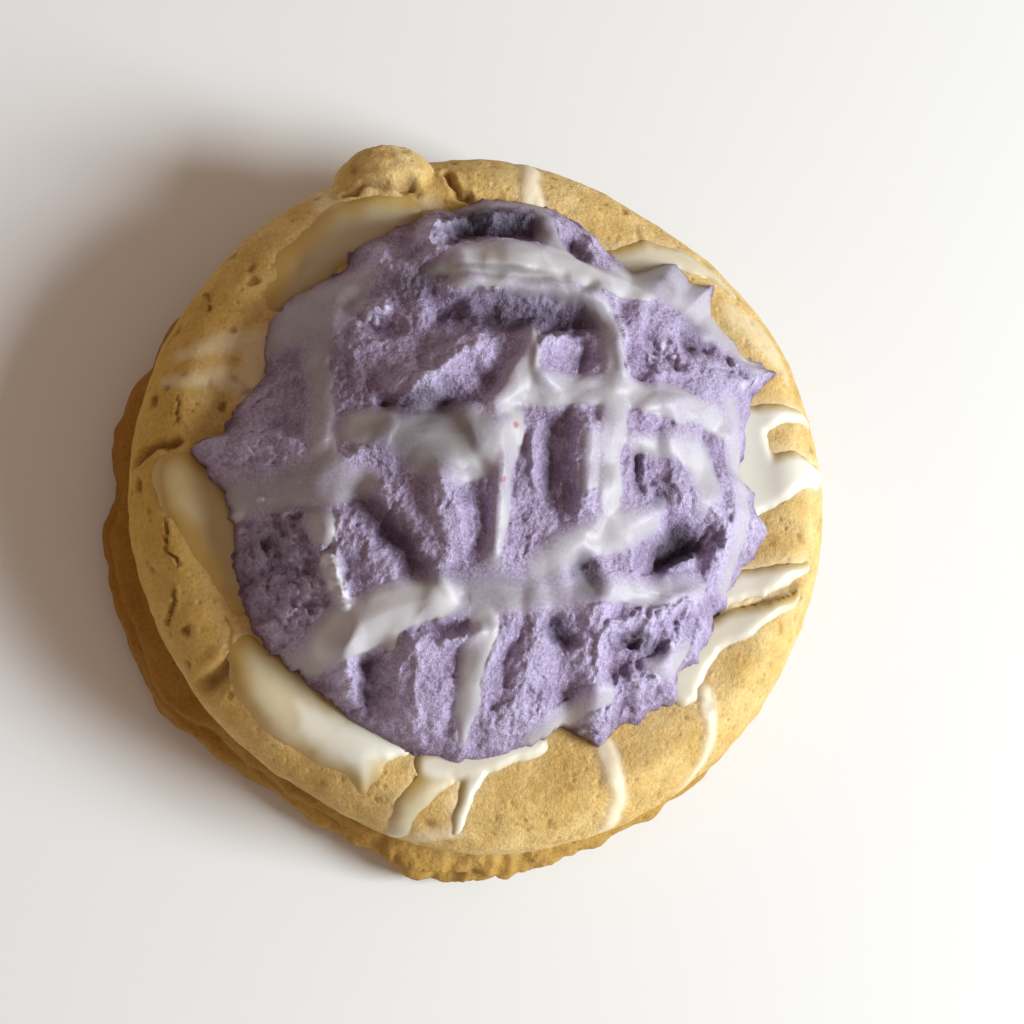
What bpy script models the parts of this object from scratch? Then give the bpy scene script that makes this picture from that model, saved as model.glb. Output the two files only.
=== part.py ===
"""Iced sugar cookie: a thick round cookie with a torn scoop of buttercream on top and glaze over both.

Metres, +Z up. The origin is the middle of the flat underside. +X and +Y lie along the table.
"""

import math

import bmesh
import bpy
from mathutils import Vector, noise

MM = 0.001

# Driving sizes of the cookie, in millimetres
COOKIE_TOP = 24.0
RIM_MID_HEIGHT = 16.0
RIM_ROUNDING = 9.0
RIM_SWELL = 0.8
SWELL_INWARD = 6.5
SWELL_WIDTH = 3.5
TOP_UNEVEN = 0.45
TOP_UNEVEN_SIZE = 9.0
GROOVE_HEIGHT = 10.2
GROOVE_DEPTH = 2.6
FOOT_MID_HEIGHT = 4.5
FOOT_EDGE = 1.6
RIM_CRUMB = 0.35
FOOT_CRUMB = 1.1
LARGE_CRUMB_SIZE = 4.5
SMALL_CRUMB_SIZE = 2.1
SMALL_CRUMB_SHARE = 0.6

# Outlines, as (degrees from +X, radius) turning anticlockwise
RIM_OUTLINE = [
    (0, 51.8), (30, 52.2), (60, 51.3), (90, 52.6), (120, 52.3), (150, 52.1),
    (180, 51.8), (210, 50.7), (240, 49.8), (270, 51.4), (300, 51.2), (330, 51.2),
]
FOOT_OUTLINE = [
    (0, 53.0), (60, 52.8), (120, 53.0), (150, 53.2), (171, 54.5), (179, 53.6),
    (187, 55.6), (197, 54.5), (211, 55.2), (223, 52.4), (237, 51.2), (250, 51.9),
    (263, 54.7), (285, 53.8), (300, 52.6), (330, 52.8),
]
SCOOP_OUTLINE = [
    (0, 38.6), (6, 36.8), (14, 39.0), (21, 41.4), (25.5, 45.4), (30, 43.4), (40, 43.2),
    (45, 44.6), (52, 43.4), (58, 39.6), (64, 40.4), (71, 42.4), (79, 43.8), (92, 43.8),
    (96, 41.8), (103, 42.8), (110, 40.8), (118, 41.0), (126, 38.8), (142, 40.6),
    (155, 37.2), (168, 39.0), (174, 42.4), (187, 37.6), (203, 39.1), (213, 39.9),
    (228, 38.9), (252, 39.3), (265, 38.7), (280, 36.8), (286, 35.4), (293, 39.0),
    (300, 38.0), (311, 39.3), (317, 37.6), (327, 38.0), (332, 36.8), (340, 37.7),
    (353, 40.4),
]

# Driving sizes of the scoop of buttercream, in millimetres
GAP = 0.3
SCOOP_BASE = COOKIE_TOP + GAP
SCOOP_HEIGHT = 18.0
SCOOP_FLATNESS = 2.6
SCOOP_SHOULDER = 0.72
CHUNK_SIZE = 8.5
CHUNK_RELIEF = 1.5
CHUNK_EDGE = 2.2
GRAIN_SIZE = 3.2
GRAIN_RELIEF = 0.5
EDGE_FADE = 6.0
RAGGED_SHARE = 0.015
RAGGED_SIZE = 0.07

# Folds of the scoop, as (height, half width, points it runs through); a negative height is a furrow
SCOOP_FOLDS = [
    (2.6, 4.0, [(-24, 29), (-12, 31.5), (0, 31.5), (9, 29), (15, 26)]),
    (2.2, 2.8, [(13.5, 25), (14.5, 15), (14.5, 5), (14.5, -3)]),
    (2.2, 2.6, [(2, 18), (-1, 12), (-4, 7), (-3, 0), (-4, -12)]),
    (1.8, 3.4, [(-36, -4), (-26, -1), (-16, 3), (-7, 3)]),
    (1.6, 4.2, [(-9, -4), (-8, -10)]),
    (2.0, 3.2, [(-26, -25), (-15, -21), (-4, -18), (10, -18), (19, -13)]),
    (1.6, 3.0, [(31, 12), (34, 5), (36, -3)]),
    (1.6, 1.8, [(12, -24), (22, -20), (32, -14)]),
    (1.4, 1.8, [(13, -29), (24, -24), (31, -19)]),
    (2.4, 3.6, [(-11, 37), (-9, 38.5)]),
    (2.0, 3.2, [(12, 37), (14, 35)]),
    (-2.6, 2.8, [(-14, 25), (-4, 24), (4, 23.5), (10, 22.5)]),
    (-2.0, 2.2, [(6.0, 7), (5.6, -6)]),
    (-1.8, 2.4, [(-20, -3), (-15, -11), (-9, -14.5)]),
    (-2.0, 2.2, [(-4, 38.2), (8, 37.5)]),
    (-5.0, 3.0, [(22, -12), (27, -7.5)]),
    (-1.8, 1.6, [(-16.5, -26), (-16, -36)]),
    (-1.6, 1.6, [(1, -24), (0.5, -33)]),
    (-1.6, 1.8, [(9.5, -23), (9, -31)]),
    (-1.8, 2.0, [(31, 20.5), (33, 20)]),
    (-1.6, 1.8, [(19, 20), (22, 16)]),
]

# Glaze: it stands this proud of what it lies on, and its ribbons sink this far into it
GLAZE_THICKNESS = 1.0
FILM_THICKNESS = 0.6
GLAZE_ROOT = 1.3
GLAZE_STEP = 3.2
RIBBON_SECTION = [(-1.0, -0.12), (-0.62, 0.72), (0.0, 1.0), (0.62, 0.72), (1.0, -0.12)]
ROOT_SPREAD = 0.8
ROOT_FLOOR = 14.6
END_OVERRUN = 0.3
END_WIDTH = 0.5
END_HEIGHT = 0.45
SCOOP_INSET = 0.93
RIM_INSET = 0.6

# Drizzle over the scoop, each strand as (x, y, half width) along its run
SCOOP_DRIZZLE = {
    "upper_left_sheet": [(-33, 22, 2.5), (-29, 24, 4.5), (-23, 26.5, 4.5), (-18, 29, 2.5), (-7, 32, 1.6)],
    "upper_band": [
        (-10, 31.5, 1.6), (-3, 32.5, 2.6), (5, 32, 2.8), (13, 30.5, 2.4),
        (21, 27, 2.4), (29, 23.5, 2.4), (37, 20.5, 1.8),
    ],
    "lip_line": [(-18, 25.5, 0.9), (-9, 28.3, 0.9), (0, 27.6, 0.9), (9, 26, 0.9)],
    "top_drop": [(8, 41, 1.2), (9, 36, 1.4), (9.5, 32, 1.4)],
    "middle_left": [
        (-37, -4, 2.2), (-29, -2, 2.6), (-23, 1.5, 2.0), (-18, 4, 2.6), (-11, 2.8, 2.8), (-3, 4, 1.8),
    ],
    "left_upright": [(-26.5, 17, 1.3), (-26.5, 9, 1.3), (-26.5, 1, 1.4)],
    "centre_upright": [
        (1.5, 18.5, 1.2), (-0.5, 13, 1.5), (-3.5, 8.5, 2.0),
        (-2, 3, 1.7), (-2.5, -3, 1.4), (-4, -12.5, 1.2),
    ],
    "middle_right": [(-1, 8.5, 1.8), (7, 9.8, 2.2), (16, 10.3, 2.2), (24, 9, 2.0), (31.5, 8.6, 1.6)],
    "right_upright": [
        (13, 25.5, 1.4), (14.2, 18, 1.6), (14.8, 9, 1.6), (14.8, 0, 1.5), (15, -9, 1.6), (13.5, -17, 1.4),
    ],
    "short_upright": [(9, 5, 0.9), (9, -1, 0.9), (11.5, -4.5, 1.3)],
    "right_crossing": [(17, 3.5, 1.0), (22, 3.2, 1.3), (27, 3.6, 2.6), (30.5, 0.6, 2.2), (31, -3, 1.4)],
    "slanting_pool": [(3, -13.5, 1.5), (10, -10.8, 2.2), (16, -7.5, 2.4), (20, -7, 2.2)],
    "lower_band": [
        (-30, -25, 1.8), (-23, -23, 2.6), (-16, -21, 3.2), (-10, -18.8, 2.6), (-3, -17.6, 2.6),
        (5, -18, 2.4), (13, -17.6, 2.4), (21, -16, 2.0), (29, -15.5, 1.4),
    ],
    "lower_upright": [(-3.5, -21, 1.4), (-5, -27, 1.4), (-6, -35.5, 1.6)],
    "lower_slant": [(7, -34.5, 1.2), (13, -31.5, 2.0), (19, -28.8, 2.0), (24, -26, 2.0), (28.5, -22, 2.0)],
    "stray_drop": [(-26.5, -8.5, 1.3), (-25, -9.5, 1.4)],
    "stray_peak": [(-24.8, -14.5, 0.9), (-24, -17.5, 1.1)],
}

# Glaze on the cookie round the scoop
COOKIE_DRIZZLE = {
    "upper_left_pool": [
        (-31, 30, 1.6), (-29, 35, 3.0), (-25.5, 39.5, 3.8), (-19, 41.6, 2.8), (-13.5, 43.2, 1.2),
    ],
    "upper_left_tongue": [(-26, 41.5, 1.2), (-26.8, 45, 0.8)],
    "left_fingers_top": [(-34.5, 19, 2.6), (-39, 20.8, 1.6), (-44.5, 18.8, 0.9)],
    "left_fingers_low": [(-35, 14.5, 2.2), (-39, 17, 1.5), (-46, 16.3, 0.9)],
    "left_blob": [
        (-45.5, 1.8, 2.4), (-43.5, 0.4, 4.2), (-41, -3.5, 3.6),
        (-39, -8.5, 2.6), (-37.2, -14, 1.6), (-36.8, -16.5, 0.8),
    ],
    "lower_left_pool": [
        (-34.5, -26, 2.0), (-31.5, -29.5, 3.8), (-27, -33.5, 4.0),
        (-22, -37, 3.4), (-18.5, -40, 2.4), (-17.6, -42.8, 0.9),
    ],
    "bottom_hook": [
        (1, -39.3, 1.6), (-5, -39.8, 2.0), (-10, -42.8, 1.6), (-12.8, -46, 1.5),
        (-10, -48, 1.2), (-6.6, -47.6, 1.0), (-4.8, -44, 0.8), (-3.2, -40.6, 0.8),
    ],
    "bottom_right_run": [(16.4, -36.5, 0.9), (17.2, -41, 1.1), (17.8, -45, 1.2), (16.6, -48.2, 1.6)],
    "right_run": [(30.6, -29.5, 0.8), (31.2, -34, 0.7), (29.4, -38.4, 0.8), (28.2, -40.6, 0.8)],
    "right_pool": [
        (29.6, -28.4, 1.6), (31, -24, 1.6), (33.2, -20.6, 1.5), (38, -18.5, 1.4), (43.4, -15, 1.2),
    ],
    "right_streak": [(34.6, -13.6, 1.3), (39, -12.4, 1.4), (43, -10.9, 1.2), (46.6, -9.2, 0.9)],
    "right_blob": [(38.6, -1.6, 1.2), (41, 2, 2.6), (45, 4.6, 2.4), (48.4, 5, 1.6)],
    "right_blob_back": [(41, 3, 2.4), (39.6, 7.5, 1.8), (40, 11.8, 1.4), (44, 13, 1.0), (48.2, 13.2, 0.9)],
    "upper_right_streak": [(20.6, 37, 1.4), (25.5, 37.6, 1.5), (31, 36, 1.2), (35.4, 33.6, 1.0)],
    "top_run": [(5.6, 44.6, 1.2), (5.2, 47.5, 1.2), (5, 50.8, 1.2)],
}
COOKIE_FILM = {
    "right_film": [(37.6, 29.5, 1.4), (40, 26.4, 2.4), (43, 22.5, 2.2), (46, 17.6, 1.4)],
}

# Cracks in the crust, as (width, depth, points it runs through)
CRACKS = [
    (1.6, 1.6, [(-50.6, 3.6), (-48, 5.4), (-45, 5.6)]),
    (3.2, 1.8, [(-41.6, -29.5), (-38.6, -27.4), (-35.6, -24.6)]),
    (1.0, 1.0, [(-20, 43.6), (-17, 45.2), (-13, 45.4)]),
    (2.4, 1.8, [(-13.4, 45.6), (-11, 45.4)]),
    (1.2, 1.2, [(-7, 47.4), (-5.4, 44.6), (-3.8, 43.9)]),
    (0.9, 0.8, [(-46.2, -6), (-46, -9.6), (-44.4, -12)]),
    (0.9, 0.8, [(-44.6, -16), (-45.4, -19.6)]),
    (1.6, 1.4, [(32, -17.6), (38, -16.2), (45, -12.4)]),
]
CRACK_STEP = 1.6
CRACK_CLOSED = 0.15
CRACK_FLARE = 1.8
CRACK_RISE = 2.5

# A knob of dough that rose on the rim
KNOB_CENTRE = (-14.5, 48.0, 21.0)
KNOB_REACH = 6.6
KNOB_HEIGHT = 3.8
KNOB_UNEVEN = 0.25
KNOB_UNEVEN_SIZE = 2.4
KNOB_INNER_RADIUS = 43.0

# Mesh fineness
COOKIE_SIDES = 84
SCOOP_RINGS = 22
RING_CROWDING = 1.2
CLEARANCE_SIDES = 120
CLEARANCE_ABOVE_TOP = 0.06
CLEARANCE_HEIGHT = 9.0
SMOOTH_BELOW_DEGREES = 50


def smooth(value):
    """Eases 0 to 1 with level ends."""
    value = min(1.0, max(0.0, value))
    return value * value * (3.0 - 2.0 * value)


def outline_radius(outline, angle):
    """Radius of a closed outline at an angle in radians, eased between its points."""
    turn = math.degrees(angle) % 360.0
    closed = outline + [(360 + outline[0][0], outline[0][1])]
    for (start, low), (end, high) in zip(closed, closed[1:]):
        if start <= turn <= end:
            return low + (high - low) * smooth((turn - start) / (end - start))
    return outline[0][1]


def grain(x, y, z, size):
    """Smooth noise from -1 to 1 whose lumps are about this many millimetres across."""
    return noise.noise(Vector((x, y, z)) / size)


def distance_to_run(x, y, points):
    """Distance in plan from a point to a run of straight pieces."""
    best = math.inf
    for (ax, ay), (bx, by) in zip(points, points[1:]):
        dx, dy = bx - ax, by - ay
        share = ((x - ax) * dx + (y - ay) * dy) / (dx * dx + dy * dy)
        share = min(1.0, max(0.0, share))
        best = min(best, math.hypot(x - ax - share * dx, y - ay - share * dy))
    return best


def scoop_share(x, y):
    """How far out a point lies under the scoop: 0 in the middle and 1 on its outline."""
    return math.hypot(x, y) / outline_radius(SCOOP_OUTLINE, math.atan2(y, x))


def cookie_height(x, y):
    """Height of the cookie's top, which is level under the scoop and rounds over at the rim."""
    inward = outline_radius(RIM_OUTLINE, math.atan2(y, x)) - math.hypot(x, y)
    if inward <= 0:
        return RIM_MID_HEIGHT
    if inward >= RIM_ROUNDING:
        height = COOKIE_TOP
    else:
        across = 1.0 - inward / RIM_ROUNDING
        height = RIM_MID_HEIGHT + (COOKIE_TOP - RIM_MID_HEIGHT) * math.sqrt(1.0 - across * across)
    clear_of_scoop = smooth((scoop_share(x, y) - 1.03) * 9.0)
    swell = math.exp(-(((inward - SWELL_INWARD) / SWELL_WIDTH) ** 2))
    uneven = TOP_UNEVEN * grain(x, y, 3.0, TOP_UNEVEN_SIZE)
    return height + clear_of_scoop * (RIM_SWELL * swell + uneven)


def scoop_height(x, y):
    """Height of the scoop's top: a low dome, broken into chunks, with its folds and furrows."""
    share = min(1.0, scoop_share(x, y))
    dome = SCOOP_HEIGHT * (1.0 - share**SCOOP_FLATNESS) ** SCOOP_SHOULDER
    near, next_near = noise.voronoi(Vector((x, y, 0.0)) / CHUNK_SIZE)[0][:2]
    relief = CHUNK_RELIEF * (smooth((next_near - near) * CHUNK_EDGE) - 0.5)
    relief += GRAIN_RELIEF * grain(x, y, 0.0, GRAIN_SIZE)
    for height, half_width, points in SCOOP_FOLDS:
        away = distance_to_run(x, y, points) / half_width
        relief += height * math.exp(-away * away)
    fade = smooth((1.0 - share) * EDGE_FADE)
    return SCOOP_BASE + max(dome + relief * fade, 0.4 * (1.0 - share))


def new_object(name, mesh_maker):
    """Links an object whose mesh mesh_maker fills, in metres."""
    mesh = bpy.data.meshes.new(name)
    shape = bmesh.new()
    mesh_maker(shape)
    bmesh.ops.recalc_face_normals(shape, faces=shape.faces)
    bmesh.ops.scale(shape, vec=(MM, MM, MM), verts=shape.verts)
    shape.to_mesh(mesh)
    shape.free()
    made = bpy.data.objects.new(name, mesh)
    bpy.context.scene.collection.objects.link(made)
    return made


def rim_profile(angle):
    """The cookie's side at an angle, as (radius, height) from the top's inner ring to the underside."""
    rim = outline_radius(RIM_OUTLINE, angle)
    foot = outline_radius(FOOT_OUTLINE, angle)
    groove = min(rim, foot) - GROOVE_DEPTH
    profile = [(rim - inward, None) for inward in (20, 16, 13, 10.5, 8.4, 6.4, 4.6, 3.0, 1.7, 0.7)]
    return profile + [
        (rim, RIM_MID_HEIGHT),
        (rim - 0.3, RIM_MID_HEIGHT - 2.2),
        (rim - 1.3, GROOVE_HEIGHT + 1.4),
        (groove, GROOVE_HEIGHT),
        (groove + 0.9, GROOVE_HEIGHT - 1.0),
        (foot - 1.2, FOOT_MID_HEIGHT + 3.4),
        (foot - 0.2, FOOT_MID_HEIGHT + 1.6),
        (foot, FOOT_MID_HEIGHT),
        (foot - 0.5, FOOT_EDGE),
        (foot - FOOT_EDGE, 0.0),
    ]


def crust(x, y, z):
    """How far the crust stands out at a point on the side: crumbly on the foot, smoother on the rim."""
    if z <= 0:
        return 0.0
    roughness = FOOT_CRUMB * smooth((GROOVE_HEIGHT + 1.0 - z) / 4.0) + RIM_CRUMB
    large = grain(x, y, z, LARGE_CRUMB_SIZE)
    small = grain(x, y, z, SMALL_CRUMB_SIZE)
    return roughness * (large + SMALL_CRUMB_SHARE * small)


def knob_push(point):
    """How far the risen knob of dough pushes this point out."""
    away = (point - Vector(KNOB_CENTRE)).length / KNOB_REACH
    return KNOB_HEIGHT * math.exp(-(away**3)) * (1.0 + KNOB_UNEVEN * grain(*point, KNOB_UNEVEN_SIZE))


def fill_cookie(shape):
    """Rings down the cookie's side, closed by a level middle above and the flat underside below."""
    rings = []
    for side in range(COOKIE_SIDES):
        angle = 2 * math.pi * side / COOKIE_SIDES
        along = Vector((math.cos(angle), math.sin(angle), 0))
        ring = []
        for radius, height in rim_profile(angle):
            x, y = (along * radius).xy
            on_top = height is None
            point = along * radius + Vector((0, 0, cookie_height(x, y) if on_top else height))
            if not on_top:
                point += along * crust(*point)
            outward = (along + Vector((0, 0, 1))).normalized()
            point += outward * knob_push(point) * smooth((radius - KNOB_INNER_RADIUS) / 3.0)
            ring.append(shape.verts.new(point))
        rings.append(ring)
    for here, beside in zip(rings, rings[1:] + rings[:1]):
        for row in range(len(here) - 1):
            shape.faces.new((here[row], here[row + 1], beside[row + 1], beside[row]))
    shape.faces.new([ring[0] for ring in rings])
    shape.faces.new([ring[-1] for ring in reversed(rings)])


def fill_scoop(shape):
    """Rings of a disc, six more points in each, raised to the scoop's height over a flat base."""
    rings = [[shape.verts.new((0, 0, scoop_height(0, 0)))]]
    for ring in range(1, SCOOP_RINGS + 1):
        share = 1.0 - (1.0 - ring / SCOOP_RINGS) ** RING_CROWDING
        points = []
        for step in range(6 * ring):
            angle = 2 * math.pi * step / (6 * ring)
            ragged = 1.0 + RAGGED_SHARE * share * grain(math.cos(angle), math.sin(angle), 0, RAGGED_SIZE)
            radius = share * ragged * outline_radius(SCOOP_OUTLINE, angle)
            x, y = radius * math.cos(angle), radius * math.sin(angle)
            height = SCOOP_BASE if ring == SCOOP_RINGS else scoop_height(x, y)
            points.append(shape.verts.new((x, y, height)))
        rings.append(points)
    for count in range(1, SCOOP_RINGS + 1):
        inner, outer = rings[count - 1], rings[count]
        for sector in range(6):
            for step in range(count):
                here = outer[sector * count + step]
                beside = outer[(sector * count + step + 1) % len(outer)]
                below = inner[(sector * (count - 1) + step) % len(inner)]
                shape.faces.new((below, here, beside))
                if step < count - 1:
                    below_beside = inner[(sector * (count - 1) + step + 1) % len(inner)]
                    shape.faces.new((below, beside, below_beside))
    shape.faces.new(list(reversed(rings[-1])))


def between(before, start, end, after, t):
    """A value on the smooth curve from start to end, which leans on the values either side."""
    straight = 2 * start + (end - before) * t
    bend = (2 * before - 5 * start + 4 * end - after) * t * t
    return 0.5 * (straight + bend + (3 * start - before - 3 * end + after) * t**3)


def along_run(points, step):
    """Points of a smooth curve through a run, about this far apart, with their half widths."""
    ends = [points[0], *points, points[-1]]
    made = []
    for before, start, end, after in zip(ends, ends[1:], ends[2:], ends[3:]):
        pieces = max(1, round(math.dist(start[:2], end[:2]) / step))
        for piece in range(pieces):
            values = zip(before, start, end, after)
            made.append(tuple(between(*value, piece / pieces) for value in values))
    return made + [points[-1]]


def tapered_end(end, inside):
    """A point a little past the end of a run, where the strand has narrowed."""
    return (
        end[0] - (inside[0] - end[0]) * END_OVERRUN,
        end[1] - (inside[1] - end[1]) * END_OVERRUN,
        end[2] * END_WIDTH,
    )


def fill_ribbon(shape, run, thickness, surface, limit):
    """A strand of glaze: an arched ribbon that follows a surface, rounded off at both ends."""
    centres = along_run(run, GLAZE_STEP)
    centres = [tapered_end(centres[0], centres[1]), *centres, tapered_end(centres[-1], centres[-2])]
    sections = []
    for index, (x, y, half_width) in enumerate(centres):
        before, after = centres[max(0, index - 1)], centres[min(len(centres) - 1, index + 1)]
        direction = Vector((after[0] - before[0], after[1] - before[1])).normalized()
        sideways = Vector((-direction.y, direction.x))
        end_share = END_HEIGHT if index in (0, len(centres) - 1) else 1.0
        section = []
        for across, rise in RIBBON_SECTION:
            px, py = limit(x + sideways.x * half_width * across, y + sideways.y * half_width * across)
            section.append(shape.verts.new((px, py, surface(px, py) + thickness * rise * end_share)))
        for across in (ROOT_SPREAD, -ROOT_SPREAD):
            px, py = limit(x + sideways.x * half_width * across, y + sideways.y * half_width * across)
            section.append(shape.verts.new((px, py, max(surface(px, py) - GLAZE_ROOT, ROOT_FLOOR))))
        sections.append(section)
    for here, beside in zip(sections, sections[1:]):
        for corner in range(len(here)):
            around = (corner + 1) % len(here)
            shape.faces.new((here[corner], here[around], beside[around], beside[corner]))
    shape.faces.new(list(reversed(sections[0])))
    shape.faces.new(sections[-1])


def within_scoop(x, y):
    """Keeps a strand's point on the scoop, just inside its outline."""
    share = scoop_share(x, y)
    inset = SCOOP_INSET / max(share, SCOOP_INSET)
    return x * inset, y * inset


def on_scoop(x, y):
    """The surface a strand on the scoop follows."""
    return max(scoop_height(x, y), SCOOP_BASE + GLAZE_ROOT + 0.2)


def within_rim(x, y):
    """Keeps a strand's point on the cookie, just inside the rim's widest line."""
    most = outline_radius(RIM_OUTLINE, math.atan2(y, x)) - RIM_INSET
    inset = min(1.0, most / math.hypot(x, y))
    return x * inset, y * inset


def fill_crack(shape, width, depth, points):
    """A wedge that splits the crust along a run, widest in the middle and closed at both ends."""
    runs = along_run([(x, y, width) for x, y in points], CRACK_STEP)
    sections = []
    for index, (x, y, _) in enumerate(runs):
        before, after = runs[max(0, index - 1)], runs[min(len(runs) - 1, index + 1)]
        direction = Vector((after[0] - before[0], after[1] - before[1])).normalized()
        opening = CRACK_CLOSED + (1 - CRACK_CLOSED) * math.sin(math.pi * index / (len(runs) - 1))
        flare = Vector((-direction.y, direction.x, 0)) * 0.5 * width * opening * CRACK_FLARE
        here = Vector((x, y, cookie_height(x, y)))
        above = here + Vector((0, 0, CRACK_RISE))
        corners = (above + flare, above - flare, here - Vector((0, 0, depth * opening)))
        sections.append([shape.verts.new(corner) for corner in corners])
    for here, beside in zip(sections, sections[1:]):
        for corner in range(3):
            around = (corner + 1) % 3
            shape.faces.new((here[corner], here[around], beside[around], beside[corner]))
    shape.faces.new(list(reversed(sections[0])))
    shape.faces.new(sections[-1])


def fill_clearance(shape):
    """A plug just wider than the scoop, which keeps the glaze on the cookie clear of it."""
    low, high = [], []
    for step in range(CLEARANCE_SIDES):
        angle = 2 * math.pi * step / CLEARANCE_SIDES
        radius = outline_radius(SCOOP_OUTLINE, angle) + 1.5 * GAP
        x, y = radius * math.cos(angle), radius * math.sin(angle)
        low.append(shape.verts.new((x, y, COOKIE_TOP + CLEARANCE_ABOVE_TOP)))
        high.append(shape.verts.new((x, y, COOKIE_TOP + CLEARANCE_HEIGHT)))
    for step in range(CLEARANCE_SIDES):
        around = (step + 1) % CLEARANCE_SIDES
        shape.faces.new((low[step], low[around], high[around], high[step]))
    shape.faces.new(list(reversed(low)))
    shape.faces.new(high)


def combine(core, pieces, operation):
    """Joins the pieces to the core, or cuts them from it, with one Boolean, and removes them."""
    group = bpy.data.collections.new(core.name + "_" + operation.lower())
    for piece in pieces:
        group.objects.link(piece)
    boolean = core.modifiers.new(operation.lower(), "BOOLEAN")
    boolean.operand_type = "COLLECTION"
    boolean.collection = group
    boolean.operation = operation
    boolean.solver = "MANIFOLD"
    bpy.context.view_layer.objects.active = core
    bpy.ops.object.modifier_apply(modifier=boolean.name)
    for piece in pieces:
        bpy.data.objects.remove(piece)
    bpy.data.collections.remove(group)
    keep_largest_shell(core)


def keep_largest_shell(made):
    """Drops what a Boolean leaves loose or sealed inside, so that one closed shell remains."""
    shape = bmesh.new()
    shape.from_mesh(made.data)
    shells, seen = [], set()
    for start in shape.faces:
        if start in seen:
            continue
        seen.add(start)
        shell, front = [], [start]
        while front:
            face = front.pop()
            shell.append(face)
            beside = {other for edge in face.edges for other in edge.link_faces} - seen
            seen |= beside
            front.extend(beside)
        shells.append(shell)
    shells.sort(key=len)
    bmesh.ops.delete(shape, geom=[face for shell in shells[:-1] for face in shell], context="FACES")
    shape.to_mesh(made.data)
    shape.free()


def finish(made, colour, roughness):
    """Gives an object its own plain material and smooth shading that breaks at sharp edges."""
    material = bpy.data.materials.new(made.name)
    material.use_nodes = True
    surface = material.node_tree.nodes["Principled BSDF"]
    surface.inputs["Base Color"].default_value = (*colour, 1.0)
    surface.inputs["Roughness"].default_value = roughness
    surface.inputs["Metallic"].default_value = 0.0
    made.data.materials.clear()
    made.data.materials.append(material)
    made.data.shade_smooth()
    made.data.set_sharp_from_angle(angle=math.radians(SMOOTH_BELOW_DEGREES))


def ribbons(drizzle, thickness, surface, limit):
    """One ribbon for each strand of a drizzle."""
    return [
        new_object(name, lambda shape, run=run: fill_ribbon(shape, run, thickness, surface, limit))
        for name, run in drizzle.items()
    ]


def build_cookie():
    """The cookie, its cracks, and the glaze that ran onto it."""
    cookie = new_object("cookie", fill_cookie)
    cracks = [
        new_object("crack", lambda shape, crack=crack: fill_crack(shape, *crack))
        for crack in CRACKS
    ]
    combine(cookie, cracks, "DIFFERENCE")
    glaze = ribbons(COOKIE_DRIZZLE, GLAZE_THICKNESS, cookie_height, within_rim)
    glaze += ribbons(COOKIE_FILM, FILM_THICKNESS, cookie_height, within_rim)
    combine(cookie, glaze, "UNION")
    combine(cookie, [new_object("clearance", fill_clearance)], "DIFFERENCE")
    finish(cookie, (0.62, 0.40, 0.16), 0.85)


def build_scoop():
    """The scoop of buttercream with the glaze drizzled over it."""
    scoop = new_object("frosting", fill_scoop)
    combine(scoop, ribbons(SCOOP_DRIZZLE, GLAZE_THICKNESS, on_scoop, within_scoop), "UNION")
    finish(scoop, (0.42, 0.33, 0.60), 0.7)


for leftover in list(bpy.data.objects):
    bpy.data.objects.remove(leftover)
build_cookie()
build_scoop()
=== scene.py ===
"""The looks of an iced sugar cookie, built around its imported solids."""

import math

import bpy
import numpy as np
from mathutils import Matrix, Vector, noise


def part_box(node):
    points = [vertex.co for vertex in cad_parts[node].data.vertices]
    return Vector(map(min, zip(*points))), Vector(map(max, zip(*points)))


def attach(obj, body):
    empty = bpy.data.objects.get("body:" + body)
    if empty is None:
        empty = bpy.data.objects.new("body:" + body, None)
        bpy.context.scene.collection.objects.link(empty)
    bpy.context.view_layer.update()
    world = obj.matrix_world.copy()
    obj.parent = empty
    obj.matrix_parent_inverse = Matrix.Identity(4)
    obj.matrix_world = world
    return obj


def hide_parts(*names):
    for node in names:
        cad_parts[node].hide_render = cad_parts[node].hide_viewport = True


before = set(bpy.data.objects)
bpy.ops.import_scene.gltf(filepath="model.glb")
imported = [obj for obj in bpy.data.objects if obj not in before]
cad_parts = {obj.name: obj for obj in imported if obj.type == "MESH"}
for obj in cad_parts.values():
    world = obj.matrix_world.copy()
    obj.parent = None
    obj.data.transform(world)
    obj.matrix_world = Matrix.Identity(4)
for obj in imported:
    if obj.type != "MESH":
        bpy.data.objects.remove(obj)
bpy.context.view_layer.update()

# The cookie: one thick round of sugar-cookie dough. Its smooth upper slab puffed over a rougher
# foot that spread on the tray, with a crease between them all round. The crust is matt, sandy and
# full of pores, cracked in a few places, and a knob of dough rose at the back and broke open.
MM = 0.001
SEAT_GAP = 0.3
COOKIE_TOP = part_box("frosting")[0][2] / MM - SEAT_GAP
RIM_MID_HEIGHT = 16.0
RIM_ROUNDING = 9.0
RIM_DROP = COOKIE_TOP - RIM_MID_HEIGHT
RIM_SWELL = 0.8
GROOVE_HEIGHT = 10.2
GROOVE_DEPTH = 2.6
FOOT_MID_HEIGHT = 4.5
FOOT_EDGE = 1.6
TOP_REACH = 26.0
RIM_OUTLINE = [
    (0, 51.8), (30, 52.2), (60, 51.3), (90, 52.6), (120, 52.3), (150, 52.1),
    (180, 51.8), (210, 50.7), (240, 49.8), (270, 51.4), (300, 51.2), (330, 51.2),
]
FOOT_OUTLINE = [
    (0, 53.0), (60, 52.8), (120, 53.0), (150, 53.2), (171, 54.5), (179, 53.6),
    (187, 55.6), (197, 54.5), (211, 55.2), (223, 52.4), (237, 51.2), (250, 51.9),
    (263, 54.7), (285, 53.8), (300, 52.6), (330, 52.8),
]
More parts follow.
